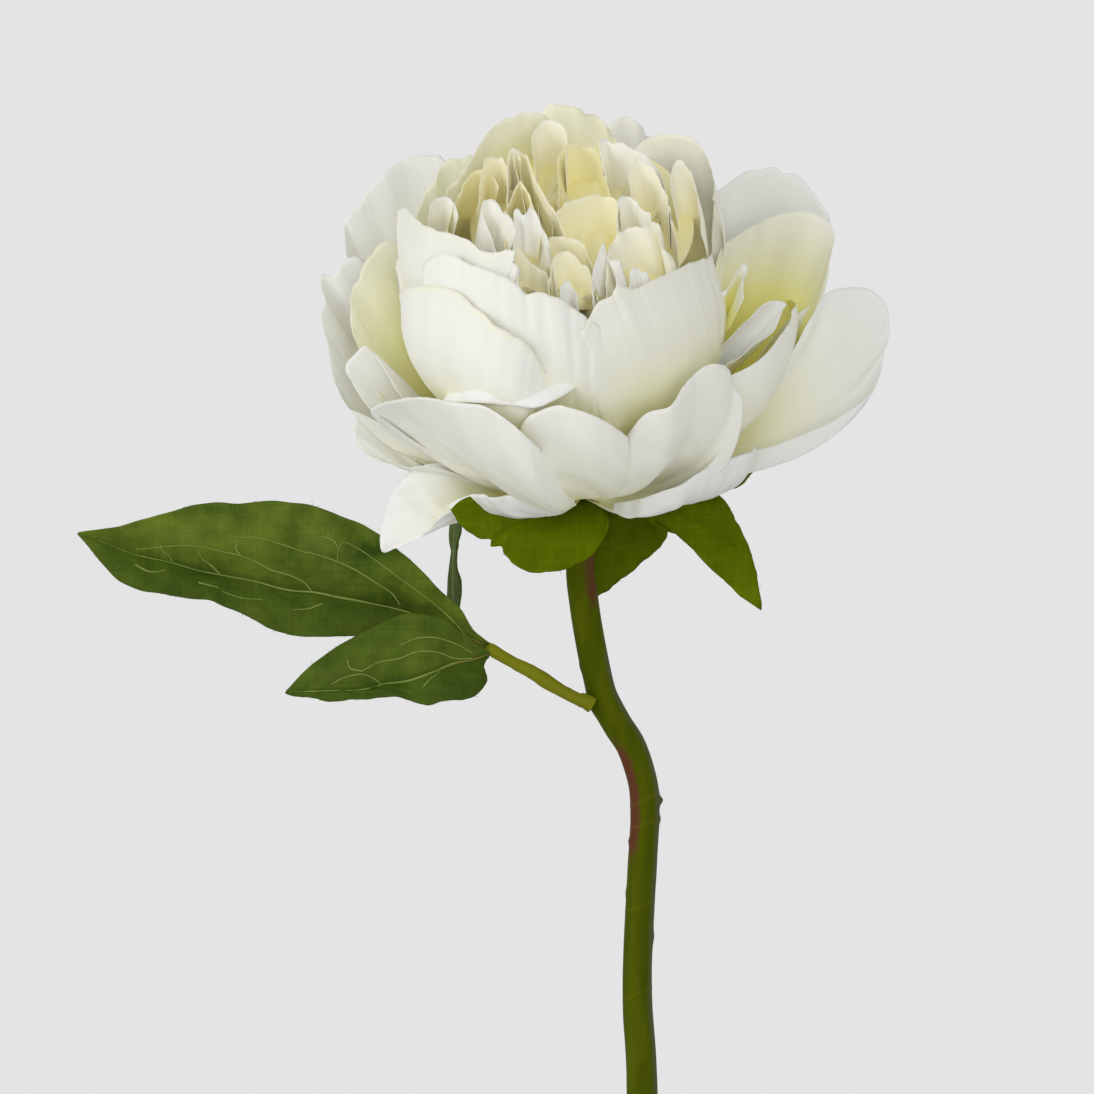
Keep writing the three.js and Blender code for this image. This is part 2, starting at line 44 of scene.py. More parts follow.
# The front view. A point is (across, down, toward): the first two are read in the front view,
# in units of a quarter millimetre, the third is how far it stands in front of y = 0, in mm.
view = {
    "unit": 0.25,
    "size": 1094,
    "distance": 2400.0,
    "middle": 547.0,
    "vaseAcross": 640.0,
    "groundDown": 1830.0,
}


def at(across, down, toward=0.0):
    near = (view["distance"] - toward) / view["distance"]
    right = view["middle"] - view["vaseAcross"] + (across - view["middle"]) * near
    up = view["groundDown"] - view["middle"] + (view["middle"] - down) * near
    return np.array([right * view["unit"], -toward, up * view["unit"]])


def seenAt(points):
    # the other way: where points in millimetres lie in the front view
    near = (view["distance"] + points[..., 1]) / view["distance"]
    right = points[..., 0] / view["unit"] - view["middle"] + view["vaseAcross"]
    up = points[..., 2] / view["unit"] - view["groundDown"] + view["middle"]
    return np.stack([view["middle"] + right / near, view["middle"] - up / near], axis=-1)


def unit(vectors):
    return vectors / np.linalg.norm(vectors, axis=-1, keepdims=True)


def smoothThrough(points, count):
    # centripetal Catmull-Rom, sampled at even steps along its length
    points = np.asarray(points, float)
    before = 2 * points[0] - points[1]
    after = 2 * points[-1] - points[-2]
    chain = np.vstack([before, points, after])
    knots = np.r_[0, np.cumsum(np.sqrt(np.linalg.norm(np.diff(chain, axis=0), axis=1)))]
    dense = []
    for i in range(1, len(chain) - 2):
        t0, t1, t2, t3 = knots[i - 1 : i + 3]
        p0, p1, p2, p3 = chain[i - 1 : i + 3]
        t = np.linspace(t1, t2, 24, endpoint=False)[:, None]
        a1 = (t1 - t) / (t1 - t0) * p0 + (t - t0) / (t1 - t0) * p1
        a2 = (t2 - t) / (t2 - t1) * p1 + (t - t1) / (t2 - t1) * p2
        a3 = (t3 - t) / (t3 - t2) * p2 + (t - t2) / (t3 - t2) * p3
        b1 = (t2 - t) / (t2 - t0) * a1 + (t - t0) / (t2 - t0) * a2
        b2 = (t3 - t) / (t3 - t1) * a2 + (t - t1) / (t3 - t1) * a3
        dense.append((t2 - t) / (t2 - t1) * b1 + (t - t1) / (t2 - t1) * b2)
    dense = np.vstack([*dense, points[-1:]])
    run = np.r_[0, np.cumsum(np.linalg.norm(np.diff(dense[:, :3], axis=0), axis=1))]
    steps = np.linspace(0, run[-1], count)
    return np.column_stack([np.interp(steps, run, dense[:, k]) for k in range(dense.shape[1])])


def stepUp(values, low, high):
    share = np.clip((values - low) / (high - low), 0, 1)
    return share * share * (3 - 2 * share)


def gridNormals(grid):
    return unit(np.cross(np.gradient(grid, axis=0), np.gradient(grid, axis=1)) + 1e-12)


def linkMesh(name, points, faces, material, smooth=None, uv=None, **values):
    mesh = bpy.data.meshes.new(name)
    mesh.from_pydata((np.asarray(points) * mm).tolist(), [], faces)
    mesh.update()
    mesh.polygons.foreach_set("use_smooth", np.ones(len(faces), bool) if smooth is None else smooth)
    if uv is not None:
        layer = mesh.uv_layers.new(name="UVMap")
        corners = np.empty(len(mesh.loops), int)
        mesh.loops.foreach_get("vertex_index", corners)
        layer.data.foreach_set("uv", np.asarray(uv)[corners].ravel())
    for label, numbers in values.items():
        attribute = mesh.attributes.new(label, "FLOAT", "POINT")
        attribute.data.foreach_set("value", np.asarray(numbers, np.float32).ravel())
    mesh.materials.append(material)
    piece = bpy.data.objects.new(name, mesh)
    scene.collection.objects.link(piece)
    return piece


def sheetPiece(name, grid, thickness, material, tint, inside=None):
    # a thin closed sheet: the grid's two sides and a narrow wall round its edge
    columns, rows = grid.shape[:2]
    half = gridNormals(grid) * np.asarray(thickness)[..., None] / 2
    points = np.vstack([(grid + half).reshape(-1, 3), (grid - half).reshape(-1, 3)])
    number = np.arange(columns * rows).reshape(columns, rows)
    a, b = number[:-1, :-1], number[1:, :-1]
    c, d = number[1:, 1:], number[:-1, 1:]
    front = np.stack([a, b, c, d], axis=-1).reshape(-1, 4)
    back = front[:, ::-1] + columns * rows
    loop = np.r_[number[:-1, 0], number[-1, :-1], number[:0:-1, -1], number[0, :0:-1]]
    ahead = np.roll(loop, -1)
    under = columns * rows
    wall = np.stack([ahead, loop, loop + under, ahead + under], axis=-1)
    faces = np.vstack([front, back, wall])
    smooth = np.r_[np.ones(len(front) + len(back), bool), np.zeros(len(wall), bool)]
    u, v = np.meshgrid(np.linspace(0, 1, columns), np.linspace(0, 1, rows), indexing="ij")
    uv = np.column_stack([u.ravel(), v.ravel()])
    sides = (tint, tint if inside is None else inside)
    both = np.concatenate([np.broadcast_to(side, (columns, rows)).ravel() for side in sides])
    return linkMesh(
        name, points, faces.tolist(), material, smooth, np.vstack([uv, uv]), tint=both
    )


def spokes(along, sides):
    # unit spokes square to each direction, evenly round it
    across = unit(np.cross([0.0, 1.0, 0.0], along))
    back = np.cross(along, across)
    turn = (np.arange(sides) * 2 * math.pi / sides)[:, None]
    return across[..., None, :] * np.cos(turn) + back[..., None, :] * np.sin(turn)


def ringSkin(rows, sides):
    number = np.arange(rows * sides).reshape(rows, sides)
    ahead = np.roll(number, -1, axis=1)
    skin = np.stack([number[:-1], ahead[:-1], ahead[1:], number[1:]], axis=-1)
    return number, ahead, skin.reshape(-1, 4).tolist()


def tubePiece(name, centres, radii, material, **values):
    # a closed tube through centres; radii has one row for each centre and one column for each side
    rows, sides = radii.shape
    points = centres[:, None] + spokes(unit(np.gradient(centres, axis=0)), sides) * radii[..., None]
    number, _, skin = ringSkin(rows, sides)
    faces = skin + [number[0, ::-1].tolist(), number[-1].tolist()]
    smooth = np.r_[np.ones(len(skin), bool), np.zeros(2, bool)]
    spin, run = np.meshgrid(np.linspace(0, 1, sides), np.linspace(0, 1, rows))
    uv = np.column_stack([spin.ravel(), run.ravel()])
    return linkMesh(name, points.reshape(-1, 3), faces, material, smooth, uv, **values)


def lathePiece(name, profile, segments, material, axis=(0, 0, 1), foot=(0, 0, 0)):
    # a profile of (radius, height), from pole to pole, turned about an axis
    axis = unit(np.asarray(axis, float))
    profile = np.asarray(profile, float)
    reach, height = profile[1:-1].T[:, :, None, None]
    rounds = foot + height * axis + reach * spokes(axis, segments)
    poles = [foot + profile[k, 1] * axis for k in (0, -1)]
    points = np.vstack([rounds.reshape(-1, 3), *poles])
    number, ahead, skin = ringSkin(len(profile) - 2, segments)
    low, high = number.size, number.size + 1
    ends = [(low, ahead[0], number[0]), (high, number[-1], ahead[-1])]
    caps = [[pole, int(a[k]), int(b[k])] for pole, a, b in ends for k in range(segments)]
    return linkMesh(name, points, skin + caps, material)


def settle(piece, slot, *nodes):
    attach(piece, "root")
    if nodes:
        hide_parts(*nodes)


def camel(node):
    first, *rest = node.split("_")
    return first + "".join(word.capitalize() for word in rest)


# node helpers, for materials and for geometry
def addNode(tree, kind, inputs=None, **settings):
    node = tree.nodes.new(kind)
    for key, value in settings.items():
        setattr(node, key, value)
    for key, value in (inputs or {}).items():
        if isinstance(key, str):
            socket = next(s for s in node.inputs if s.name == key and s.enabled)
        else:
            socket = node.inputs[key]
        if isinstance(value, bpy.types.NodeSocket):
            tree.links.new(value, socket)
        else:
            socket.default_value = value
    return node


def mathNode(tree, operation, *values):
    node = addNode(tree, "ShaderNodeMath", dict(enumerate(values)), operation=operation)
    return node.outputs[0]


def noise(tree, vector, scale, detail=3.0, roughness=0.55):
    inputs = {"Vector": vector, "Scale": scale, "Detail": detail, "Roughness": roughness}
    return addNode(tree, "ShaderNodeTexNoise", inputs).outputs["Fac"]


def stretched(tree, vector, scale):
    return addNode(tree, "ShaderNodeMapping", {"Vector": vector, "Scale": scale}).outputs["Vector"]


def ramp(tree, fac, stops):
    node = addNode(tree, "ShaderNodeValToRGB", {"Fac": fac})
    elements = node.color_ramp.elements
    while len(elements) < len(stops):
        elements.new(0.5)
    for element, (place, colour) in zip(elements, stops):
        element.position = place
        element.color = (*colour, 1)
    return node.outputs["Color"]


def blend(tree, fac, first, second, mode="MIX"):
    first, second = (c if isinstance(c, bpy.types.NodeSocket) else (*c, 1) for c in (first, second))
    inputs = {0: fac, 6: first, 7: second}
    return addNode(tree, "ShaderNodeMix", inputs, data_type="RGBA", blend_type=mode).outputs[2]


def grey(level):
    return (level, level, level)


def bump(tree, shader, height, strength, distance):
    inputs = {"Height": height, "Strength": strength, "Distance": distance}
    node = addNode(tree, "ShaderNodeBump", inputs)
    tree.links.new(node.outputs["Normal"], shader.inputs["Normal"])


def newMaterial(name, **sockets):
    material = bpy.data.materials.new(name)
    material.use_nodes = True
    tree = material.node_tree
    shader = tree.nodes["Principled BSDF"]
    for socket, value in sockets.items():
        shader.inputs[socket.replace("_", " ")].default_value = value
    place = addNode(tree, "ShaderNodeTexCoord").outputs["Object"]
    return material, tree, shader, place


def paint(tree, shader, colour):
    tree.links.new(colour, shader.inputs["Base Color"])


def attribute(tree, name):
    return addNode(tree, "ShaderNodeAttribute", attribute_name=name).outputs["Fac"]


petalLook = {
    "mottle": 0.06,
    "mottleScale": 55.0,
    "fibreScale": (60.0, 2.4, 1.0),
    "fibre": (0.985, 1.0),
    "roughness": (0.52, 0.68),
    "crumpleScale": 420.0,
    "fibreRelief": 0.8,
    "relief": (0.08, 0.0003),
    "translucence": 0.12,
    "lightDepth": 0.0003,
    "sheen": 0.08,
    "sheenRoughness": 0.5,
    "specular": 0.22,
}
whiteTints = [
    (0.0, (0.93, 0.87, 0.10)),
    (0.18, (0.95, 0.91, 0.32)),
    (0.42, (0.96, 0.94, 0.60)),
    (0.62, (0.965, 0.96, 0.76)),
    (0.82, (0.965, 0.965, 0.87)),
    (1.0, (0.96, 0.963, 0.925)),
]
creamTints = [
    (0.0, (0.95, 0.83, 0.08)),
    (0.18, (0.97, 0.88, 0.33)),
    (0.42, (0.975, 0.92, 0.60)),
    (0.62, (0.975, 0.945, 0.76)),
    (0.82, (0.97, 0.96, 0.87)),
    (1.0, (0.965, 0.963, 0.925)),
]


def petalMaterial(name, tints):
    # thin woven silk: the petal's own tint runs from its claw to its rim, with faint long fibres. The tint
    # also carries painted shade and light: a painted shadow along some rims, painted shade on sunken folds
    # and on one inner face, and painted light on another inner face
    look = petalLook
    material, tree, shader, place = newMaterial(
        name,
        Subsurface_Weight=look["translucence"],
        Subsurface_Scale=look["lightDepth"],
        Subsurface_Radius=grey(1.0),
        Sheen_Weight=look["sheen"],
        Sheen_Roughness=look["sheenRoughness"],
        Specular_IOR_Level=look["specular"],
    )
    mottle = noise(tree, place, look["mottleScale"], 4.0, 0.6)
    shift = mathNode(tree, "MULTIPLY_ADD", mottle, look["mottle"], attribute(tree, "tint"))
    tint = mathNode(tree, "SUBTRACT", shift, look["mottle"] / 2)
    body = ramp(tree, tint, tints)
    uv = place.node.outputs["UV"]
    fibre = noise(tree, stretched(tree, uv, look["fibreScale"]), 1.0, 3.0, 0.65)
    low, high = look["fibre"]
    streak = ramp(tree, fibre, [(0.3, grey(low)), (0.65, grey(high))])
    paint(tree, shader, blend(tree, 1.0, body, streak, "MULTIPLY"))
    low, high = look["roughness"]
    gloss = addNode(tree, "ShaderNodeMapRange", {"Value": mottle, "To Min": low, "To Max": high})
    tree.links.new(gloss.outputs["Result"], shader.inputs["Roughness"])
    crumple = noise(tree, place, look["crumpleScale"])
    height = mathNode(tree, "MULTIPLY_ADD", fibre, look["fibreRelief"], crumple)
    bump(tree, shader, height, *look["relief"])
    return material


leafLooks = {
    "leafSkin": {
        "dark": (0.042, 0.078, 0.005),
        "light": (0.165, 0.24, 0.022),
        "dusty": (0.15, 0.2, 0.035),
        "weave": 0.14,
        "roughness": 0.6,
        "specular": 0.08,
    },
    "sepalSkin": {
        "dark": (0.078, 0.120, 0.0),
        "light": (0.128, 0.180, 0.0005),
        "dusty": (0.15, 0.20, 0.004),
        "weave": 0.15,
        "roughness": 0.7,
        "specular": 0.03,
    },
}
clothWeave = {
    "patchScale": 60.0,
    "dustScale": (70.0, 70.0, 150.0),
    "threadScales": ((1500.0, 300.0, 40.0), (40.0, 300.0, 1500.0)),
    "relief": (0.3, 0.0002),
}


def leafMaterial(name):
    # printed cloth: dark and light patches, paler grey-green patches on top, the weave's two thread ways,
    # and painted shade from the tint attribute
    look = {**clothWeave, **leafLooks[name]}
    material, tree, shader, place = newMaterial(
        name, Roughness=look["roughness"], Specular_IOR_Level=look["specular"]
    )
    patch = noise(tree, place, look["patchScale"], 5.0, 0.6)
    green = ramp(tree, patch, [(0.34, look["dark"]), (0.68, look["light"])])
    dusty = noise(tree, stretched(tree, place, look["dustScale"]), 1.0, 4.0, 0.7)
    cover = ramp(tree, dusty, [(0.5, grey(0)), (0.74, grey(0.6))])
    shade = blend(tree, cover, green, look["dusty"])
    # painted shade: the tint attribute darkens the green along the midrib and over the shaded half of a
    # leaflet
    shade = blend(tree, attribute(tree, "tint"), shade, look["dark"])
    threads = [
        noise(tree, stretched(tree, place, scale), 1.0, 2.0, 0.5) for scale in look["threadScales"]
    ]
    cloth = mathNode(tree, "ADD", *threads)
    low = 1 - look["weave"]
    weave = ramp(tree, mathNode(tree, "MULTIPLY", cloth, 0.5), [(0.4, grey(low)), (0.6, grey(1))])
    paint(tree, shader, blend(tree, 1.0, shade, weave, "MULTIPLY"))
    bump(tree, shader, cloth, *look["relief"])
    return material


veinLook = {
    "dark": (0.15, 0.23, 0.028),
    "light": (0.28, 0.36, 0.08),
    "tan": (0.22, 0.15, 0.02),
    "wornScale": 160.0,
}


def veinMaterial():
    look = veinLook
    material, tree, shader, place = newMaterial("veinPrint", Roughness=0.5, Specular_IOR_Level=0.2)
    worn = noise(tree, place, look["wornScale"], 3.0, 0.6)
    green = ramp(tree, worn, [(0.3, look["dark"]), (0.7, look["light"])])
    paint(tree, shader, blend(tree, attribute(tree, "tint"), green, look["tan"]))
    return material


stemLook = {
    "dark": (0.062, 0.082, 0.0),
    "light": (0.095, 0.118, 0.001),
    "maroon": (0.13, 0.035, 0.022),
    "dusty": (0.10, 0.105, 0.05),
    "pale": (0.24, 0.25, 0.012),
    "streakScale": (260.0, 260.0, 22.0),
    "patchScale": 190.0,
    "grainScale": 900.0,
    "relief": (0.16, 0.0002),
}


def stemMaterial():
    # moulded stem: green with long streaks, a maroon blush and a grey bloom along one side
    look = stemLook
    material, tree, shader, place = newMaterial("stemSkin", Roughness=0.45, Specular_IOR_Level=0.03)
    streak = noise(tree, stretched(tree, place, look["streakScale"]), 1.0, 4.0, 0.6)
    shade = ramp(tree, streak, [(0.3, look["dark"]), (0.7, look["light"])])
    patch = noise(tree, place, look["patchScale"], 3.0, 0.6)
    edge = mathNode(tree, "MULTIPLY_ADD", patch, 0.5, -0.25)
    for part, stops, colour in (
        ("blush", [(0.25, grey(0)), (0.75, grey(0.85))], look["maroon"]),
        ("dust", [(0.3, grey(0)), (0.9, grey(0.75))], look["dusty"]),
    ):
        cover = ramp(tree, mathNode(tree, "ADD", attribute(tree, part), edge), stops)
        shade = blend(tree, cover, shade, colour)
    pale = ramp(tree, attribute(tree, "pale"), [(0.0, grey(0)), (1.0, grey(1))])
    paint(tree, shader, blend(tree, pale, shade, look["pale"]))
    grain = noise(tree, place, look["grainScale"], 2.0, 0.5)
    bump(tree, shader, mathNode(tree, "ADD", streak, grain), *look["relief"])
    return material


glazeLook = {
    "dark": (0.78, 0.775, 0.755),
    "light": (0.83, 0.828, 0.812),
    "cloudScale": 26.0,
    "poreScale": 230.0,
    "poreShade": 0.82,
    "waveScale": 48.0,
    "relief": (0.12, 0.0012),
}


def glazeMaterial():
    # white glaze over a pale body: slow clouds of tone, fine pinholes and a faint waviness
    look = glazeLook
    material, tree, shader, place = newMaterial(
        "vaseGlaze", Roughness=0.14, Coat_Weight=0.5, Coat_Roughness=0.05
    )
    cloud = noise(tree, place, look["cloudScale"], 5.0, 0.6)
    white = ramp(tree, cloud, [(0.35, look["dark"]), (0.65, look["light"])])
    pores = addNode(tree, "ShaderNodeTexVoronoi", {"Vector": place, "Scale": look["poreScale"]})
    stops = [(0.03, grey(look["poreShade"])), (0.09, grey(1))]
    speck = ramp(tree, pores.outputs["Distance"], stops)
    paint(tree, shader, blend(tree, 1.0, white, speck, "MULTIPLY"))
    bump(tree, shader, noise(tree, place, look["waveScale"], 2.0, 0.5), *look["relief"])
    return material


petalSkin = petalMaterial("petalSilk", whiteTints)
creamSkin = petalMaterial("creamSilk", creamTints)
leafSkin, sepalSkin = map(leafMaterial, leafLooks)
veinSkin = veinMaterial()
stemSkin = stemMaterial()
glazeSkin = glazeMaterial()
print("materials made")

# the bloom's heart, the axis it grows along, and the ball of cupped petals
heart = at(582, 492, 4)
ball = {"across": 555, "down": 272, "toward": 20}
bloomAxis = unit(at(ball["across"], ball["down"], ball["toward"]) - heart)
receptacleProfile = [
    (0, -1.2), (4.4, -1.2), (6.6, 0.2), (7, 2.5), (7.2, 6), (7.8, 10), (7.4, 13), (5.6, 15.6),
    (2.6, 17.2), (0, 17.6),
]


# the mouth's packed tips lie close to a slope that comes forward as it goes down
mouthSlope = {"top": 118, "depth": 5, "perPixel": 0.262, "spread": 0.42}


def slopeDepth(down):
    return mouthSlope["depth"] + (down - mouthSlope["top"]) * mouthSlope["perPixel"]


def packed(petals):
    for petal in petals.values():
        rim = []
        for across, down, toward in petal["rim"]:
            slope = slopeDepth(down)
            rim.append((across, down, slope + (toward - slope) * mouthSlope["spread"]))
        petal["rim"] = rim
    return petals


def onShell(point, shell, within):
    # a rim point with no depth lies on the petal's shell; no point stands outside "within"
    away = math.hypot(point[0] - ball["across"], point[1] - ball["down"]) * view["unit"]
    front = ball["toward"] + math.sqrt(max((shell or within or 0) ** 2 - away**2, 0))
    if len(point) == 2:
        return at(*point, front)
    return at(*point[:2], min(point[2], front) if within else point[2])


def awayFromAxis(points):
    arm = points - heart
    return unit(arm - (arm @ bloomAxis)[..., None] * bloomAxis)


def direction(outward, degrees):
    turn = np.radians(np.asarray(degrees, float))[..., None]
    return bloomAxis * np.cos(turn) + outward * np.sin(turn)


def wander(places, waves, rng, harmonics=4):
    # a smooth random curve between about -1 and 1
    total = np.zeros_like(places)
    for k in range(harmonics):
        rate = waves * (1 + 0.83 * k) * rng.uniform(0.85, 1.15)
        total += np.sin(2 * math.pi * (rate * places + rng.random())) / (1 + 0.7 * k)
    return total / 2.0


# gather: 0 spreads the claw round the receptacle, 1 draws it to a point
# flare, lip: degrees from the bloom's axis at which it leaves the claw and arrives at its rim
# tint: from claw to rim, 0 is green-yellow and 1 is white
petalDefaults = {
    "gather": 0.4,
    "claw": 2.4,
    "rise": 5.0,
    "flare": 60,
    "lip": 0,
    "leave": 0.45,
    "arrive": 0.4,
    "cup": 0.0,
    "ruffle": 0.8,
    "waves": 2.4,
    "frill": 0.1,
    "ragged": 0.14,
    "nicks": 3,
    "nickDepth": 0.6,
    "dent": 0.6,
    "creases": 4,
    "creaseDepth": 0.1,
    "curl": 0.0,
    "thickness": 0.32,
    # painted shadow: how far the tint drops in a thin darker, yellower line just inside the rim
    "rimShade": 0.0,
    "tint": (0.0, 0.4, 0.75, 0.9, 0.95),
    "slot": "petal_white",
    "skin": petalSkin,
}
petalMesh = {"column": 0.72, "columns": (36, 190), "row": 0.95, "rows": (26, 64), "crowding": 0.92}
# ranges to draw from: place and begin are shares of the petal, breadths are millimetres
crease = {
    "place": (0.08, 0.92), "lean": 0.09, "begin": (0.2, 0.6), "breadth": (0.9, 2.4),
    "depth": (0.5, 1.2), "fade": 0.25,
}
nick = {"place": (0.06, 0.94), "breadth": (0.8, 2.0), "depth": (0.4, 1.1)}


def petalRoots(petal, edge, middle, u):
    share = (petal["claw"] * petal["gather"] * (u - 0.5))[:, None]
    sideways = np.cross(bloomAxis, middle)
    outward = unit(awayFromAxis(edge) * (1 - petal["gather"]) + middle * petal["gather"])
    if "root" in petal:
        return at(*petal["root"]) + sideways * share, outward
    radii, heights = zip(*receptacleProfile[1:-1])
    radius = np.interp(petal["rise"], heights, radii)
    return heart + bloomAxis * petal["rise"] + outward * radius + sideways * share, outward


def petalRelief(petal, u, v, length, rng):
    # how far the sheet stands out of its plain curved surface, in millimetres
    width = np.maximum(length * v, 5.0)
    relief = wander(u + 0.15 * v, petal["waves"], rng) * petal["ruffle"] * v**3
    relief += wander(u + 0.1 * v, length / 7, rng, 4) * petal["frill"] * v**12
    dents = wander(u * 1.3 + v, 1.6, rng) * wander(v + 0.4 * u, 1.2, rng)
    relief += dents * petal["dent"] * np.sin(math.pi * v * 0.85)
    relief += petal["cup"] * (1 - (2 * u - 1) ** 2) * np.sin(math.pi * v**1.3)
    for _ in range(petal["creases"]):
        middle, lean = rng.uniform(*crease["place"]), rng.normal(0, crease["lean"])
        begin, breadth = rng.uniform(*crease["begin"]), rng.uniform(*crease["breadth"])
        depth = petal["creaseDepth"] * rng.uniform(*crease["depth"]) * rng.choice([-1, 1])
        apart = (u - middle - lean * (v - 0.5)) * width / breadth
        relief += depth * np.exp(-(apart**2)) * stepUp(v, begin, begin + crease["fade"])
    return relief + petal["curl"] * np.clip((v - 0.9) / 0.1, 0, 1) ** 2


def petalSheet(petal, rng):
    rim = np.array([onShell(p, petal.get("shell"), petal.get("within")) for p in petal["rim"]])
    spread = [np.atleast_1d(np.asarray(petal[key], float)) for key in ("flare", "lip")]
    middle = awayFromAxis(rim[len(rim) // 2])
    if (rim[-1] - rim[0]) @ np.cross(bloomAxis, middle) < 0:
        rim, spread = rim[::-1], [degrees[::-1] for degrees in spread]
    length = np.linalg.norm(np.diff(rim, axis=0), axis=1).sum()
    columns = int(np.clip(length / petalMesh["column"], *petalMesh["columns"]))
    edge = smoothThrough(rim, columns)
    u = np.linspace(0, 1, columns)
    flare, lip = (np.interp(u, np.linspace(0, 1, len(d)), d) for d in spread)
    root, outward = petalRoots(petal, edge, awayFromAxis(edge[columns // 2]), u)
    pull = wander(u, length / 8, rng, 4) * petal["ragged"]
    for _ in range(petal["nicks"]):
        place, breadth = rng.uniform(*nick["place"]), rng.uniform(*nick["breadth"])
        bite = petal["nickDepth"] * rng.uniform(*nick["depth"])
        pull -= bite * np.exp(-(((u - place) * length / breadth) ** 2))
    edge = edge + unit(edge - root) * pull[:, None]
    reach = np.linalg.norm(edge - root, axis=1)[:, None]
    leaving = root + direction(outward, flare) * reach * petal["leave"]
    arriving = edge - direction(outward, lip) * reach * petal["arrive"]
    rows = int(np.clip(reach.mean() / petalMesh["row"], *petalMesh["rows"]))
    v = (np.linspace(0, 1, rows) ** petalMesh["crowding"])[None, :, None]
    root, leaving, arriving, edge = (p[:, None, :] for p in (root, leaving, arriving, edge))
    grid = (
        (1 - v) ** 3 * root
        + 3 * (1 - v) ** 2 * v * leaving
        + 3 * (1 - v) * v**2 * arriving
        + v**3 * edge
    )
    u, v = np.meshgrid(u, v.ravel(), indexing="ij")
    grid = grid + gridNormals(grid) * petalRelief(petal, u, v, length, rng)[..., None]
    thin = petal["thickness"] * (1 - 0.7 * v**4)
    tint, inside = (
        np.interp(v, np.linspace(0, 1, len(stops)), stops)
        for stops in (petal["tint"], petal.get("inside", petal["tint"]))
    )
    # painted shadow: the tint drops in a thin band just inside the rim, a darker yellower line along it
    rimShade = petal["rimShade"] * stepUp(v, 0.955, 0.995)
    return grid, thin, tint - rimShade, inside - rimShade


def makePetals(petals, seed, **shared):
    for order, (name, own) in enumerate(petals.items()):
        petal = {**petalDefaults, **shared, **own}
        grid, thin, tint, inside = petalSheet(petal, np.random.default_rng(seed + order))
        piece = sheetPiece(camel(name), grid, thin, petal["skin"], tint, inside)
        settle(piece, petal["slot"], *([name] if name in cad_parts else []))


white = (0.0, 0.3, 0.62, 0.86, 0.98)
pearl = (0.0, 0.2, 0.48, 0.74, 0.88)
ivory = (0.0, 0.12, 0.32, 0.54, 0.72)

whiteTip = (0.0, 0.0, 0.08, 0.36, 0.68, 0.95)
pearlTip = (0.0, 0.0, 0.08, 0.3, 0.56, 0.82)
ivoryTip = (0.0, 0.0, 0.06, 0.24, 0.45, 0.66)
creamTip = (0.0, 0.0, 0.05, 0.2, 0.36, 0.52)
butterTip = (0.0, 0.0, 0.04, 0.15, 0.28, 0.42)

# a blade is so narrow that it stays smooth
blade = {"ruffle": 0.05, "dent": 0.2, "creases": 1, "frill": 0.05, "nicks": 3}

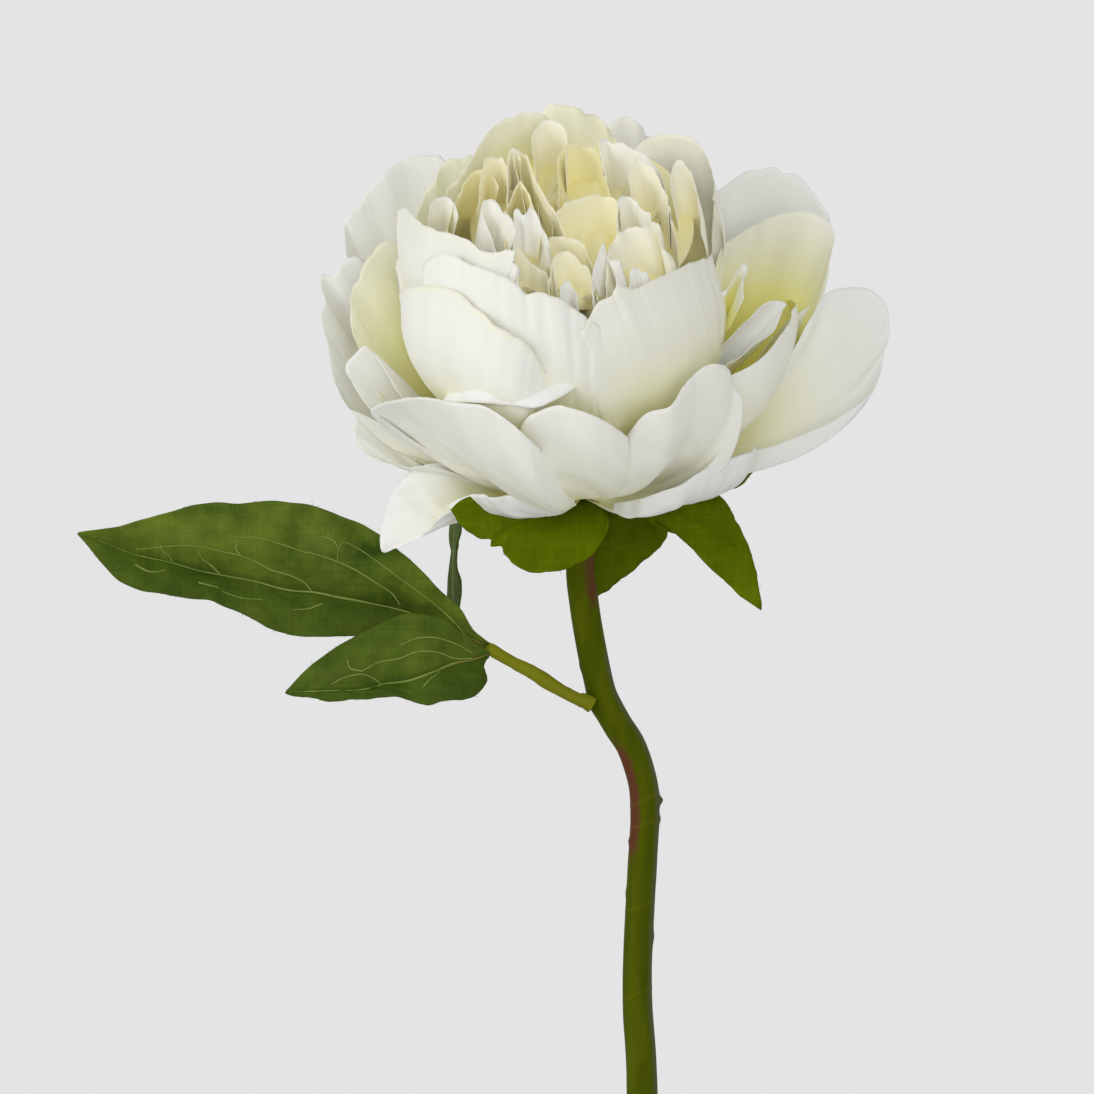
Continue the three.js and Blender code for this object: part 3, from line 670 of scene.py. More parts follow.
middlePetals = {
    "middle_tongue": {
        **blade,
        "rim": [(513, 275, 44), (512, 240, 42), (513, 213, 41), (519, 209, 42), (524, 215, 43),
                (530, 207, 43), (537, 213, 44), (544, 228, 46), (550, 241, 47), (551, 256, 49),
                (556, 277, 51), (559, 298, 52)],
        "flare": 30, "lip": -22, "rise": 12, "tint": whiteTip,
    },
    "middle_cream_low": {
        "rim": [(549, 304, 55), (547, 284, 54), (549, 264, 52), (555, 254, 50), (564, 250, 49),
                (574, 254, 50), (585, 265, 51), (593, 280, 53), (600, 297, 54)],
        "flare": 30, "lip": -18, "rise": 12.5, "cup": 1,
    },
    "middle_arc_front": {
        "rim": [(553, 290, 45), (548, 255, 44), (549, 237, 43), (565, 236, 43), (583, 243, 44),
                (590, 256, 45), (595, 272, 46), (598, 292, 48)],
        "flare": 25, "lip": 5, "rise": 13, "cup": 2,
    },
    "middle_arc_back": {
        "rim": [(553, 255, 33), (552, 222, 34), (556, 208, 34), (576, 199, 33), (592, 194, 32),
                (603, 191, 32), (616, 198, 33), (622, 209, 33), (622, 222, 34)],
        "flare": 20, "lip": 10, "rise": 13.5, "cup": 2,
    },
    "middle_tooth_left": {
        **blade,
        "rim": [(592, 305, 54), (591, 280, 53), (597, 256, 51), (604, 242, 51), (607, 252, 51),
                (612, 260, 52), (620, 260, 52), (618, 275, 53), (614, 302, 54)],
        "flare": 32, "lip": -22, "rise": 11.5, "tint": whiteTip,
    },
    "middle_tooth_right": {
        **blade,
        "rim": [(626, 305, 54), (629, 285, 54), (631, 270, 53), (637, 267, 53), (642, 270, 53),
                (647, 269, 53), (648, 285, 54), (650, 300, 54)],
        "flare": 34, "lip": -20, "rise": 11, "tint": whiteTip,
    },
    "middle_cream_right": {
        "rim": [(606, 300, 51), (606, 262, 48), (609, 244, 47), (619, 232, 46), (633, 225, 46),
                (646, 228, 47), (652, 221, 47), (660, 224, 47), (660, 238, 47), (664, 250, 47),
                (674, 260, 48), (676, 272, 48), (664, 300, 50)],
        "flare": 30, "lip": -15, "rise": 12, "cup": 2, "tint": ivoryTip,
    },
    "middle_ribbon": {
        **blade,
        "rim": [(500, 262, 47), (492, 235, 42), (483, 213, 39), (484, 203, 39), (489, 199, 40),
                (496, 202, 41), (502, 209, 43), (511, 219, 45), (515, 232, 46)],
        "flare": 30, "lip": -25, "rise": 12, "tint": pearlTip,
    },
    "middle_strip_upright": {
        **blade,
        "rim": [(508, 232, 30), (508, 185, 27), (509, 158, 25), (511, 150, 25), (515, 150, 26),
                (519, 158, 28)],
        "flare": 20, "rise": 13, "tint": ivoryTip,
    },
    "middle_strip_slanting": {
        **blade,
        "rim": [(532, 238, 33), (521, 185, 30), (514, 152, 27), (517, 146, 27), (525, 153, 29),
                (531, 172, 33), (541, 192, 36), (553, 210, 38), (562, 232, 40), (566, 246, 41)],
        "flare": 20, "lip": 5, "rise": 14,
    },
    "middle_long_left": {
        **blade,
        "rim": [(478, 212, 23), (482, 180, 20), (485, 162, 19), (491, 156, 19), (498, 155, 19),
                (504, 162, 20), (509, 178, 21)],
        "flare": 24, "lip": -5, "rise": 11,
    },
    "middle_right_front": {
        "rim": [(616, 250, 38), (616, 215, 37), (619, 197, 37), (627, 192, 37), (638, 198, 38),
                (641, 206, 39), (652, 213, 40), (654, 222, 41), (661, 234, 42), (668, 262, 44)],
        "flare": 30, "rise": 11.5, "tint": pearlTip, "cup": 1.5,
    },
    "middle_right_back": {
        **blade,
        "rim": [(604, 158, 22), (600, 143, 21), (605, 135, 21), (612, 141, 22), (620, 143, 23),
                (631, 148, 25), (645, 156, 27), (656, 168, 28), (664, 190, 30), (668, 220, 33)],
        "flare": 30, "rise": 11, "tint": pearlTip,
    },
    "middle_right_edge": {
        **blade,
        "rim": [(669, 190, 28), (671, 170, 26), (677, 158, 25), (688, 166, 26), (697, 190, 28),
                (702, 235, 32)],
        "flare": 38, "lip": -10, "rise": 10.5, "tint": ivoryTip,
    },
    "middle_top_strip": {
        **blade,
        "rim": [(540, 220, 25), (537, 175, 18), (533, 140, 12), (537, 124, 10), (546, 119, 10),
                (560, 124, 11), (566, 140, 13), (564, 156, 16)],
        "flare": 20, "lip": -5, "rise": 12.5, "tint": ivoryTip,
    },
    "middle_back_face": {
        "rim": [(560, 222, 17), (558, 180, 12), (561, 152, 9), (574, 142, 8), (590, 146, 9), (602, 166, 12),
                (612, 208, 19)],
        "flare": 20, "lip": -5, "rise": 12, "tint": butterTip, "cup": -1.5,
    },
    "middle_small_left": {
        **blade,
        "rim": [(428, 245, 16), (432, 206, 16), (439, 198, 17), (446, 194, 18), (452, 200, 20),
                (457, 216, 23)],
        "flare": 45, "lip": -20, "rise": 10, "tint": pearlTip,
    },
    "middle_fold_right": {
        **blade,
        "rim": [(632, 190, 33), (630, 172, 31), (636, 160, 30), (648, 164, 31), (658, 180, 32),
                (668, 205, 35), (676, 245, 38)],
        "flare": 28, "rise": 11, "tint": ivoryTip,
    },
    "middle_low_left": {
        "rim": [(505, 272, 50), (507, 256, 49), (515, 248, 48), (524, 252, 48), (534, 262, 49),
                (544, 270, 50), (551, 282, 51), (553, 300, 52)],
        "flare": 34, "lip": -15, "rise": 12, "cup": 1.5,
    },
    "middle_white_speck": {
        **blade,
        "rim": [(560, 304, 53), (559, 290, 53), (563, 281, 53), (569, 279, 53), (573, 284, 53),
                (576, 292, 53), (577, 304, 54)],
        "flare": 32, "lip": -20, "rise": 12, "tint": whiteTip,
    },
    "middle_low_pit": {
        "rim": [(506, 245, 39), (508, 218, 34), (513, 196, 30), (520, 182, 28), (527, 190, 30),
                (534, 212, 34), (540, 245, 40)],
        "flare": 20, "lip": -12, "rise": 12.5, "tint": butterTip, "cup": 0.5, "nicks": 0,
    },
    "middle_pit_left": {
        "rim": [(448, 250, 22), (452, 215, 17), (462, 190, 13), (474, 172, 11), (486, 170, 12),
                (497, 188, 17)],
        "flare": 34, "lip": -15, "rise": 10.5, "tint": butterTip, "cup": 2, "nicks": 0,
    },
}
makePetals(
    packed(middlePetals), 100, gather=1.0, slot="petal_cream", tint=creamTip, ruffle=0.3, waves=1.4,
    frill=0.18, ragged=0.4, nicks=6, nickDepth=1.1, dent=0.8, creases=4, creaseDepth=0.2,
    thickness=0.3, curl=0.3, within=36.0, skin=creamSkin,
)

cupPetals = {
    "cup_back_top": {
        "rim": [(520, 200, -5), (530, 130, 0), (540, 117, 0), (551, 105, 2), (561, 107, 2), (578, 109, 2),
                (592, 116, 0), (604, 128, 0), (612, 150, -2), (620, 220, -4)],
        "flare": 40, "lip": -15, "rise": 9.5, "tint": ivory,
    },
    "cup_back_top_left": {
        "rim": [(440, 300, 6), (445, 230, 8), (452, 192, 11), (468, 172, 11), (488, 138, 10), (502, 127, 8),
                (516, 118, 7), (528, 115, 6), (545, 118, 5), (560, 150, 0)],
        "flare": 45, "lip": -25, "rise": 9, "tint": (0.0, 0.05, 0.12, 0.3, 0.75),
    },
    "cup_back_right": {
        "rim": [(620, 200, 0), (640, 146, -2), (655, 138, -2), (670, 136, 0), (689, 140, 2), (701, 154, 2),
                (709, 180, 2), (712, 205, 0), (709, 260, -6), (694, 330, -8)],
        "flare": 52, "lip": -20, "rise": 8.5, "nicks": 0, "frill": 0.15,
    },
    "cup_front_left": {
        "rim": [(450, 388, 4), (430, 367, 0), (411, 332, -1), (402, 290, 1), (402, 258, 5), (403, 210, 14),
                (430, 227), (455, 235), (471, 241), (485, 252), (500, 253), (507, 250), (517, 252),
                (512, 262), (518, 266), (516, 276), (520, 300)],
        "shell": 37.4, "flare": (5, 15, 35, 58, 58), "lip": (10, 0, -20, -30, -30, -30),
        "rise": 8,
    },
    "cup_back_right_bump": {
        "rim": [(590, 180, -14), (600, 140, -14), (608, 128, -12), (620, 119, -12), (634, 121, -12),
                (647, 136, -14), (655, 160, -14)],
        "flare": 45, "lip": -10, "rise": 8, "tint": (0.0, 0.4, 0.7, 0.85, 0.95),
    },
    "cup_back_left": {
        "rim": [(425, 330, -2), (410, 260, -6), (428, 195, -8), (447, 164, -8), (460, 158, -8),
                (475, 158, -8), (495, 165, -10), (505, 200, -12)],
        "flare": 55, "lip": -10, "rise": 7.5, "tint": ivory,
    },
    "cup_front_right": {
        "rim": [(590, 400, 48), (580, 345, 56), (598, 303), (610, 297), (617, 287), (630, 290), (640, 287),
                (655, 279), (671, 272), (686, 265), (700, 261), (709, 260, 14), (707, 290, 2),
                (696, 335, -2), (680, 380, 0)],
        "shell": 38.1, "flare": (76, 82, 78, 66, 56), "lip": -25, "rise": 7,
        "tint": (0.0, 0.08, 0.36, 0.7, 0.86),
    },
    "cup_front_middle": {
        "rim": [(430, 350), (425, 300), (430, 262), (455, 256), (471, 265), (493, 273), (512, 282),
                (527, 295), (542, 292), (552, 297), (560, 299), (581, 316), (600, 335), (611, 361),
                (612, 385), (604, 420, 40)],
        "shell": 39.0, "flare": (35, 55, 72, 80), "lip": -33, "rise": 6.5,
        "tint": (0.0, 0.2, 0.6, 0.8, 0.93),
    },
    "cup_front_low": {
        "rim": [(470, 412, 14), (446, 388, 6), (430, 367, 3), (417, 345, 2), (408, 310, 5), (411, 289),
                (432, 287), (455, 290, 51.5), (465, 297, 54), (476, 308, 56), (487, 316, 58),
                (494, 325, 59), (510, 334, 60), (524, 343, 60), (537, 363, 58), (545, 392, 52),
                (552, 430, 47)],
        "shell": 40.3, "flare": (5, 12, 32, 60, 76, 80), "lip": (15, 0, -20, -32, -32, -32),
        "rise": 6, "rimShade": 0.26,
        "tint": (0.0, 0.2, 0.6, 0.8, 0.92),
    },
}
# the cup petals get a painted shadow along their rims, strongest on cup_front_low
makePetals(
    cupPetals, 200, ruffle=0.5, frill=0.22, dent=0.45, creases=3, creaseDepth=0.08, curl=1.2,
    ragged=0.2, nicks=4, nickDepth=0.8, tint=pearl, thickness=0.36, rimShade=0.12,
)

leftGuards = {
    "guard_left_inner": {
        "rim": [(405, 425, 18), (368, 372, 12), (352, 330, 8), (350, 295, 4), (361, 271, 2), (372, 252, 0),
                (390, 240, -2), (402, 250, -2), (420, 330, 0)],
        "flare": 72, "lip": 28, "rise": 5.5, "tint": (0.0, 0.08, 0.2, 0.34, 0.6),
    },
    "guard_left_behind": {
        "rim": [(385, 350, -6), (352, 270, -10), (344, 223, -14), (348, 215, -14), (359, 200, -15),
                (374, 181, -16), (394, 166, -17), (412, 156, -18), (428, 155, -18), (439, 155, -18),
                (450, 170, -18), (470, 230, -16)],
        "flare": 75, "lip": 20, "rise": 4.5, "tint": white,
    },
    "guard_left_white": {
        "rim": [(378, 418, 20), (366, 404, 18), (354, 385, 17), (345, 367, 16), (354, 355, 15),
                (365, 345, 14), (377, 360, 15), (391, 381, 17), (405, 402, 20), (425, 430, 25)],
        "flare": 78, "lip": 45, "rise": 4, "tint": white, "ruffle": 0.3, "dent": 0.3,
    },
    "guard_left_outer": {
        "rim": [(420, 440, 10), (361, 413, 8), (347, 408, 8), (338, 392, 7), (331, 372, 6), (327, 355, 5),
                (326, 338, 4), (322, 327, 3), (319, 314, 2), (325, 303, 0), (323, 274, -4), (332, 276, -4),
                (344, 261, -5), (358, 257, -6), (372, 290, -8), (400, 370, -4)],
        "flare": 82, "lip": (40, 32, 28, 25, 22), "rise": 3, "tint": (0.0, 0.15, 0.45, 0.7, 0.85),
        # painted light: the inner face is tinted whiter, for light that shines through the petal from the
        # left
        "inside": (0.4, 0.6, 0.85, 0.97, 1.0),
    },
}
makePetals(leftGuards, 300)

rightGuards = {
    "guard_right_crescent": {
        "rim": [(698, 326, 23), (703, 310, 22), (714, 299, 21), (728, 286, 20), (738, 270, 18),
                (745, 263, 17), (747, 272, 17), (744, 284, 18), (742, 298, 20)],
        "flare": 56, "lip": 30, "rise": 5.5, "nicks": 0, "creases": 0,
        "tint": (0.02, 0.02, 0.02, 0.02, 0.03, 0.04, 0.05, 0.06, 0.08, 0.12, 0.25, 0.95),
    },
    "guard_right_top": {
        "rim": [(700, 330, -6), (708, 240, -8), (712, 200, -10), (730, 182, -12), (748, 171, -13),
                (762, 169, -13), (773, 167, -13), (784, 171, -13), (795, 174, -12), (807, 184, -11),
                (817, 200, -10), (827, 213, -9), (829, 225, -8), (810, 300, -4), (760, 380, 0)],
        "flare": 72, "lip": 15, "rise": 4.5, "tint": white,
    },
    "guard_right_tongue": {
        "rim": [(684, 374, 28), (706, 356, 28), (728, 340, 27), (746, 322, 25), (760, 308, 23),
                (779, 299, 20), (788, 303, 19), (781, 313, 19), (778, 326, 20), (766, 337, 21),
                (752, 346, 23), (738, 358, 25), (728, 363, 26)],
        "flare": 58, "lip": 48, "tint": (0.0, 0.4, 0.8, 0.98, 1.0),
        "ragged": 0.5, "creases": 0, "dent": 0.2, "ruffle": 0.3,
    },
    "guard_right_upper": {
        "rim": [(705, 350, 0), (712, 290, -2), (722, 248, -4), (737, 235, -4), (757, 223, -4),
                (770, 217, -3), (784, 213, -2), (804, 211, 0), (815, 214, 1), (826, 221, 2), (835, 237, 4),
                (834, 252, 5), (831, 262, 5), (829, 280, 5), (815, 310, 6), (775, 380, 6)],
        "flare": 75, "lip": 20, "rise": 4, "tint": (0.0, 0.1, 0.3, 0.6, 0.9),
        # painted shade: the inner face is tinted darker and yellower, for the shade it lies in behind the
        # ball
        "inside": (0.0, 0.03, 0.08, 0.2, 0.75), "creases": 9, "creaseDepth": 0.2,
    },
    "guard_right_cup": {
        "rim": [(690, 398, 34), (733, 375, 33), (760, 358, 30), (778, 341, 26), (788, 326, 20),
                (792, 312, 14), (794, 303, 6), (789, 300, -2), (776, 320, -8)],
        "flare": 84, "rise": 3, "tint": (0.0, 0.1, 0.4, 0.66, 0.85),
        "inside": (0.0, 0.0, 0.02, 0.04, 0.1),
    },
    "guard_far_right": {
        "rim": [(720, 420, 4), (780, 330, 2), (824, 294, 0), (837, 289, 0), (855, 287, 0), (871, 290, 1),
                (882, 299, 2), (888, 312, 3), (889, 330, 4), (885, 346, 5), (882, 358, 5), (880, 373, 6),
                (873, 388, 7), (862, 401, 8), (848, 412, 8), (832, 422, 8), (790, 440, 8), (720, 460, 8)],
        "flare": 80, "lip": 35, "rise": 2, "tint": (0.0, 0.3, 0.65, 0.9, 1.0),
    },
    "guard_far_right_under": {
        "rim": [(690, 452, -3), (770, 436, -4), (825, 424, -3), (834, 426, -2), (829, 434, 0),
                (806, 445, 1), (781, 451, 1), (757, 452, 1), (700, 470, 2)],
        "flare": 82, "lip": 60, "rise": 1, "tint": white,
    },
}
makePetals(rightGuards, 400)

frontGuards = {
    "guard_front_lip": {
        "rim": [(448, 420, 38), (441, 404, 42), (457, 403, 49), (480, 403, 56), (510, 405, 58),
                (535, 408, 59), (550, 403, 58.5), (568, 393, 57), (580, 386, 54), (591, 390, 50),
                (598, 408, 43)],
        "flare": 70, "lip": (90, 140, 150, 150, 140, 90), "arrive": 0.34, "rise": 4.5,
        "tint": (0.0, 0.02, 0.04, 0.1, 0.2, 0.6, 0.95, 1.0, 1.0), "ruffle": 0.3, "creases": 2,
        "inside": (0.0, 0.2, 0.4, 0.7, 0.9, 1.0),
    },
    "guard_front_middle": {
        "rim": [(560, 474, 30), (540, 455, 48), (520, 432, 55), (528, 417, 58), (541, 411, 59),
                (558, 406, 60), (573, 409, 60), (587, 413, 60), (603, 420, 58), (615, 428, 55),
                (628, 438, 50), (612, 462, 38), (596, 478, 22)],
        "flare": 80, "lip": 5, "root": (582, 496, 11), "tint": (0.1, 0.35, 0.6, 0.76, 0.86),
        "inside": (0.0, 0.02, 0.04, 0.08, 0.2),
    },
    "guard_front_right": {
        "rim": [(598, 485, 20), (606, 458, 38), (626, 436, 48), (646, 414, 52), (670, 407, 52),
                (684, 387, 50), (704, 366, 46), (716, 363, 44), (726, 367, 41), (733, 380, 37),
                (742, 405, 34), (732, 434, 30), (708, 464, 28), (680, 484, 26), (650, 496, 20),
                (617, 503, 15)],
        "flare": 84, "lip": 5, "root": (584, 497, 11), "tint": (0.15, 0.45, 0.68, 0.8, 0.88),
    },
    "guard_front_left": {
        "rim": [(388, 432, 13), (376, 421, 16), (371, 409, 20), (385, 401, 27), (403, 399, 34),
                (432, 399, 44), (457, 403, 53), (491, 408, 60), (513, 424, 61), (530, 440, 59),
                (552, 459, 50), (572, 482, 30)],
        "flare": (84, 86, 90, 90, 88, 86), "lip": (52, 44, 20, 6, 0, 0), "root": (580, 497, 11),
        "tint": (0.15, 0.45, 0.68, 0.8, 0.9), "inside": (0.0, 0.0, 0.02, 0.05, 0.12, 0.5),
    },
    "guard_left_under": {
        "rim": [(418, 466, 11), (405, 467, 10), (386, 464, 9), (371, 458, 8), (358, 445, 6), (352, 432, 5),
                (356, 417, 4), (371, 405, 4)],
        "flare": 90, "lip": (80, 70, 55, 40), "rise": 1, "tint": (0.0, 0.3, 0.65, 0.85, 0.97),
        "ruffle": 0.3,
    },
    "guard_right_under": {
        "rim": [(757, 446, 14), (748, 452, 19), (735, 458, 24), (722, 463, 27), (704, 470, 31),
                (680, 484, 34), (650, 496, 32), (615, 503, 20)],
        "flare": 94, "lip": 10, "root": (588, 499, 10), "tint": (0.2, 0.6, 0.85, 0.95, 1.0),
    },
    "guard_left_lip": {
        "rim": [(449, 504, 10), (455, 501, 14), (468, 496, 18), (482, 494, 22), (495, 496, 25),
                (530, 499, 27), (560, 501, 20)],
        "flare": 98, "lip": 20, "root": (578, 500, 10), "tint": (0.3, 0.7, 0.9, 0.97, 1.0),
    },
    "guard_left_droop": {
        "rim": [(462, 506, 12), (437, 519, 14), (424, 533, 14), (407, 545, 14), (394, 549, 14),
                (382, 552, 14), (380, 535, 13), (384, 514, 12), (394, 491, 10), (412, 470, 7)],
        "flare": 96, "lip": 110, "rise": 0, "tint": (0.0, 0.2, 0.5, 0.85, 1.0),
    },
}
makePetals(frontGuards, 500, nicks=2)

backGuards = {
    "guard_back_upper": {
        "rim": [(470, 380, -26), (470, 260, -40), (510, 205, -42), (560, 190, -43), (610, 205, -42),
                (640, 260, -38), (630, 380, -24)],
            },
    "guard_back_left": {
        "rim": [(400, 400, -20), (385, 310, -36), (415, 250, -48), (470, 235, -54), (520, 245, -56),
                (550, 300, -50), (555, 390, -24)],
        "flare": 75, "lip": 15, "rise": 3.5,
    },
    "guard_back_right": {
        "rim": [(570, 390, -24), (580, 290, -48), (620, 240, -54), (670, 235, -52), (712, 262, -42),
                (722, 330, -32), (700, 400, -16)],
        "flare": 75, "lip": 15, "rise": 2.5,
    },
    "guard_back_low": {
        "rim": [(430, 450, -12), (425, 400, -42), (480, 370, -60), (560, 362, -66), (640, 372, -60),
                (705, 405, -42), (690, 450, -16)],
        "flare": 88, "lip": 30, "rise": 1,
    },
}
makePetals(backGuards, 600, ruffle=1.6, tint=white)
print("petals made")

# a tree of geometry nodes, and its inputs by name
def newTree(name, **inputs):
    tree = bpy.data.node_groups.new(name, "GeometryNodeTree")
    sockets = [("Geometry", "INPUT", "Geometry")]
    sockets += [(label, "INPUT", kind) for label, kind in inputs.items()]
    sockets += [("Geometry", "OUTPUT", "Geometry")]
    for label, way, kind in sockets:
        tree.interface.new_socket(name=label, in_out=way, socket_type="NodeSocket" + kind)
    source = addNode(tree, "NodeGroupInput")
    return tree, {socket.name: socket for socket in source.outputs if socket.name}


def step(tree, kind, geometry, inputs=None, **settings):
    # a node that changes the geometry that comes in
    slot = "Mesh" if kind in ("MeshToCurve", "ExtrudeMesh", "FlipFaces") else "Geometry"
    node = addNode(tree, "GeometryNode" + kind, {slot: geometry, **(inputs or {})}, **settings)
    return node.outputs[0]


def endTree(tree, geometry, material):
    solid = step(tree, "SetShadeSmooth", step(tree, "RealizeInstances", geometry))
    finish = step(tree, "SetMaterial", solid, {"Material": material})
    addNode(tree, "NodeGroupOutput", {"Geometry": finish})
    return tree


def grownPiece(name, tree, points, edges, values, **attributes):
    # runs a tree on a bare mesh of points and lines, and keeps its result as a plain mesh
    mesh = bpy.data.meshes.new(name)
    mesh.from_pydata((np.asarray(points) * mm).tolist(), edges, [])
    for label, numbers in attributes.items():
        numbers = np.asarray(numbers, np.float32)
        flat = numbers.ndim == 1
        attribute = mesh.attributes.new(label, "FLOAT" if flat else "FLOAT_VECTOR", "POINT")
        attribute.data.foreach_set("value" if flat else "vector", numbers.ravel())
    piece = bpy.data.objects.new(name, mesh)
    scene.collection.objects.link(piece)
    modifier = piece.modifiers.new("build", "NODES")
    modifier.node_group = tree
    for socket in tree.interface.items_tree:
        if socket.in_out == "INPUT" and socket.name in values:
            modifier[socket.identifier] = values[socket.name]
    evaluated = piece.evaluated_get(bpy.context.evaluated_depsgraph_get())
    finished = bpy.data.meshes.new_from_object(evaluated)
    piece.modifiers.remove(modifier)
    piece.data = finished
    return piece


def treeValues(settings, *names):
    # the settings that a tree's inputs are named after
    return {name.capitalize(): settings[name] for name in names}


def strung(lines):
    # the points of all lines, and the edges along each
    starts = np.cumsum([0] + [len(line) for line in lines])
    edges = [(k, k + 1) for a, b in zip(starts, starts[1:]) for k in range(a, b - 1)]
    return np.vstack(lines), edges


def named(tree, name, kind="FLOAT"):
    node = addNode(tree, "GeometryNodeInputNamedAttribute", {"Name": name}, data_type=kind)
    return next(s for s in node.outputs if s.name == "Attribute" and s.enabled)


def stored(tree, geometry, name, value, kind="FLOAT", domain="POINT"):
    inputs = {"Geometry": geometry, "Name": name, "Value": value}
    node = addNode(
        tree, "GeometryNodeStoreNamedAttribute", inputs, data_type=kind, domain=domain
    )
    return node.outputs[0]


# Small crumpled petals that fill the bloom's mouth behind the large ones. One petal is shaped
# from a flat grid, set on every root point, and crumpled once it stands in its place.
# mouth and clear are ovals in the front view: across, down, half width and half height.
fillers = {
    "seed": 11,
    "ruffle": 0.0025,
    "grain": 60.0,
    "thickness": 0.00012,
    "grid": (11, 25),
    "opening": 1.5,
    "closing": 6.0,
    "fullness": 1.35,
    "claw": 0.06,
    "hollow": 0.9,
    "bow": -0.35,
    "push": 2.2,
    "rows": range(146, 296, 15),
    "places": range(452, 700, 22),
    "stagger": 11,
    "jitter": 4,
    "across": (518, 640),
    "down": (185, 300),
    "mouth": (575, 218, 112, 80),
    "clear": [(585, 226, 38, 30), (638, 262, 34, 28), (583, 175, 30, 30), (548, 150, 20, 36),
              (645, 168, 36, 26)],
    "below": (1, 6),
    "rise": (12, 16),
    "scatter": 1.2,
    "twist": 24,
    "breadth": (12, 18),
}


def fillerTree():
    tree, given = newTree(
        "mouthFillers", Ruffle="Float", Grain="Float", Thickness="Float", Seed="Float"
    )

    def calc(operation, *values):
        return mathNode(tree, operation, *values)

    wide, high = fillers["grid"]
    flat = {"Size X": 1.0, "Size Y": 1.0, "Vertices X": wide, "Vertices Y": high}
    sheet = addNode(tree, "GeometryNodeMeshGrid", flat)
    spot = addNode(tree, "GeometryNodeInputPosition").outputs[0]
    split = addNode(tree, "ShaderNodeSeparateXYZ", {"Vector": spot})
    up = calc("ADD", split.outputs["Y"], 0.5)
    opening = calc("POWER", up, fillers["opening"])
    closing = calc("SUBTRACT", 1.0, calc("POWER", up, fillers["closing"]))
    breadth = calc("MULTIPLY", calc("MULTIPLY", opening, closing), fillers["fullness"])
    across = calc("MULTIPLY", split.outputs["X"], calc("ADD", breadth, fillers["claw"]))
    hollow = calc("MULTIPLY", calc("MULTIPLY", across, across), fillers["hollow"])
    lift = calc("ADD", hollow, calc("MULTIPLY", calc("MULTIPLY", up, up), fillers["bow"]))
    curved = addNode(tree, "ShaderNodeCombineXYZ", {"X": across, "Y": up, "Z": lift})
    paling = calc("MULTIPLY", calc("POWER", up, 3.0), 0.5)
    tint = stored(tree, sheet.outputs["Mesh"], "tint", paling)
    mapped = stored(tree, tint, "UVMap", sheet.outputs["UV Map"], "FLOAT2", "CORNER")
    turned = {
        "Primary Axis": named(tree, "aim", "FLOAT_VECTOR"),
        "Secondary Axis": named(tree, "face", "FLOAT_VECTOR"),
    }
    turn = addNode(
        tree, "FunctionNodeAxesToRotation", turned, primary_axis="Y", secondary_axis="Z"
    )
    placing = {
        "Points": given["Geometry"],
        "Instance": step(tree, "SetPosition", mapped, {"Position": curved.outputs[0]}),
        "Rotation": turn.outputs[0],
        "Scale": named(tree, "size", "FLOAT_VECTOR"),
    }
    many = addNode(tree, "GeometryNodeInstanceOnPoints", placing)
    real = step(tree, "RealizeInstances", many.outputs[0])
    grain = {"Scale": given["Grain"], "W": given["Seed"], "Detail": 3.0, "Roughness": 0.6}
    crumple = addNode(tree, "ShaderNodeTexNoise", grain, noise_dimensions="4D")
    half = {0: crumple.outputs["Color"], 1: grey(0.5)}
    centred = addNode(tree, "ShaderNodeVectorMath", half, operation="SUBTRACT")
    grows = calc("MULTIPLY", named(tree, "tint"), given["Ruffle"])
    scaled = {0: centred.outputs[0], "Scale": calc("MULTIPLY", grows, fillers["push"])}
    push = addNode(tree, "ShaderNodeVectorMath", scaled, operation="SCALE")
    crumpled = step(tree, "SetPosition", real, {"Offset": push.outputs[0]})
    thick = {"Offset Scale": given["Thickness"], "Individual": False}
    both = addNode(tree, "GeometryNodeJoinGeometry")
    tree.links.new(step(tree, "ExtrudeMesh", crumpled, thick), both.inputs[0])
    tree.links.new(step(tree, "FlipFaces", crumpled), both.inputs[0])
    closed = step(tree, "MergeByDistance", both.outputs[0], {"Distance": 1e-6})
    return endTree(tree, closed, creamSkin)


# a crinkled bed of petal bases closes the mouth a little below its tips
bed = {
    "across": 582,
    "down": 226,
    "wide": 112,
    "high": 84,
    "steps": (130, 100),
    "below": [(150, 14.0), (230, 11.0), (270, 6.5), (300, 4.0)],
    "hollow": 7.0,
    "hollowFrom": 520,
    "hollowOver": 70,
    "droop": 4,
    "thickness": 0.5,
    "tint": 0.33,
    "seed": 31,
}


def makeBed():
    s, t = np.meshgrid(*(np.linspace(-1, 1, steps) for steps in bed["steps"]), indexing="ij")
    east, south = s * np.sqrt(1 - t**2 / 2), t * np.sqrt(1 - s**2 / 2)
    across = bed["across"] + bed["wide"] * east
    down = bed["down"] + bed["high"] * south
    rng = np.random.default_rng(bed["seed"])
    folds = wander(east * 1.1 + south * 0.3, 1.6, rng) * 2.0
    folds += wander(south * 0.8 - east * 0.3, 0.9, rng)
    sunk = np.interp(down, *zip(*bed["below"]))
    sunk = sunk + bed["hollow"] * np.clip((bed["hollowFrom"] - across) / bed["hollowOver"], 0, 1)
    sunk += bed["droop"] * (east**2 + south**2) ** 3
    depth = slopeDepth(down) - sunk + folds
    grid = np.array([[at(*spot) for spot in zip(*row)] for row in zip(across, down, depth)])
    thin = np.full(grid.shape[:2], bed["thickness"])
    # painted shade: folds that sink back are tinted darker and yellower, raised ones paler
    tint = bed["tint"] + 0.1 * folds / 2.8
    settle(sheetPiece("mouthBed", grid, thin, creamSkin, tint), "petal_cream")


def within(spot, across, down, wide, high):
    return ((spot[0] - across) / wide) ** 2 + ((spot[1] - down) / high) ** 2


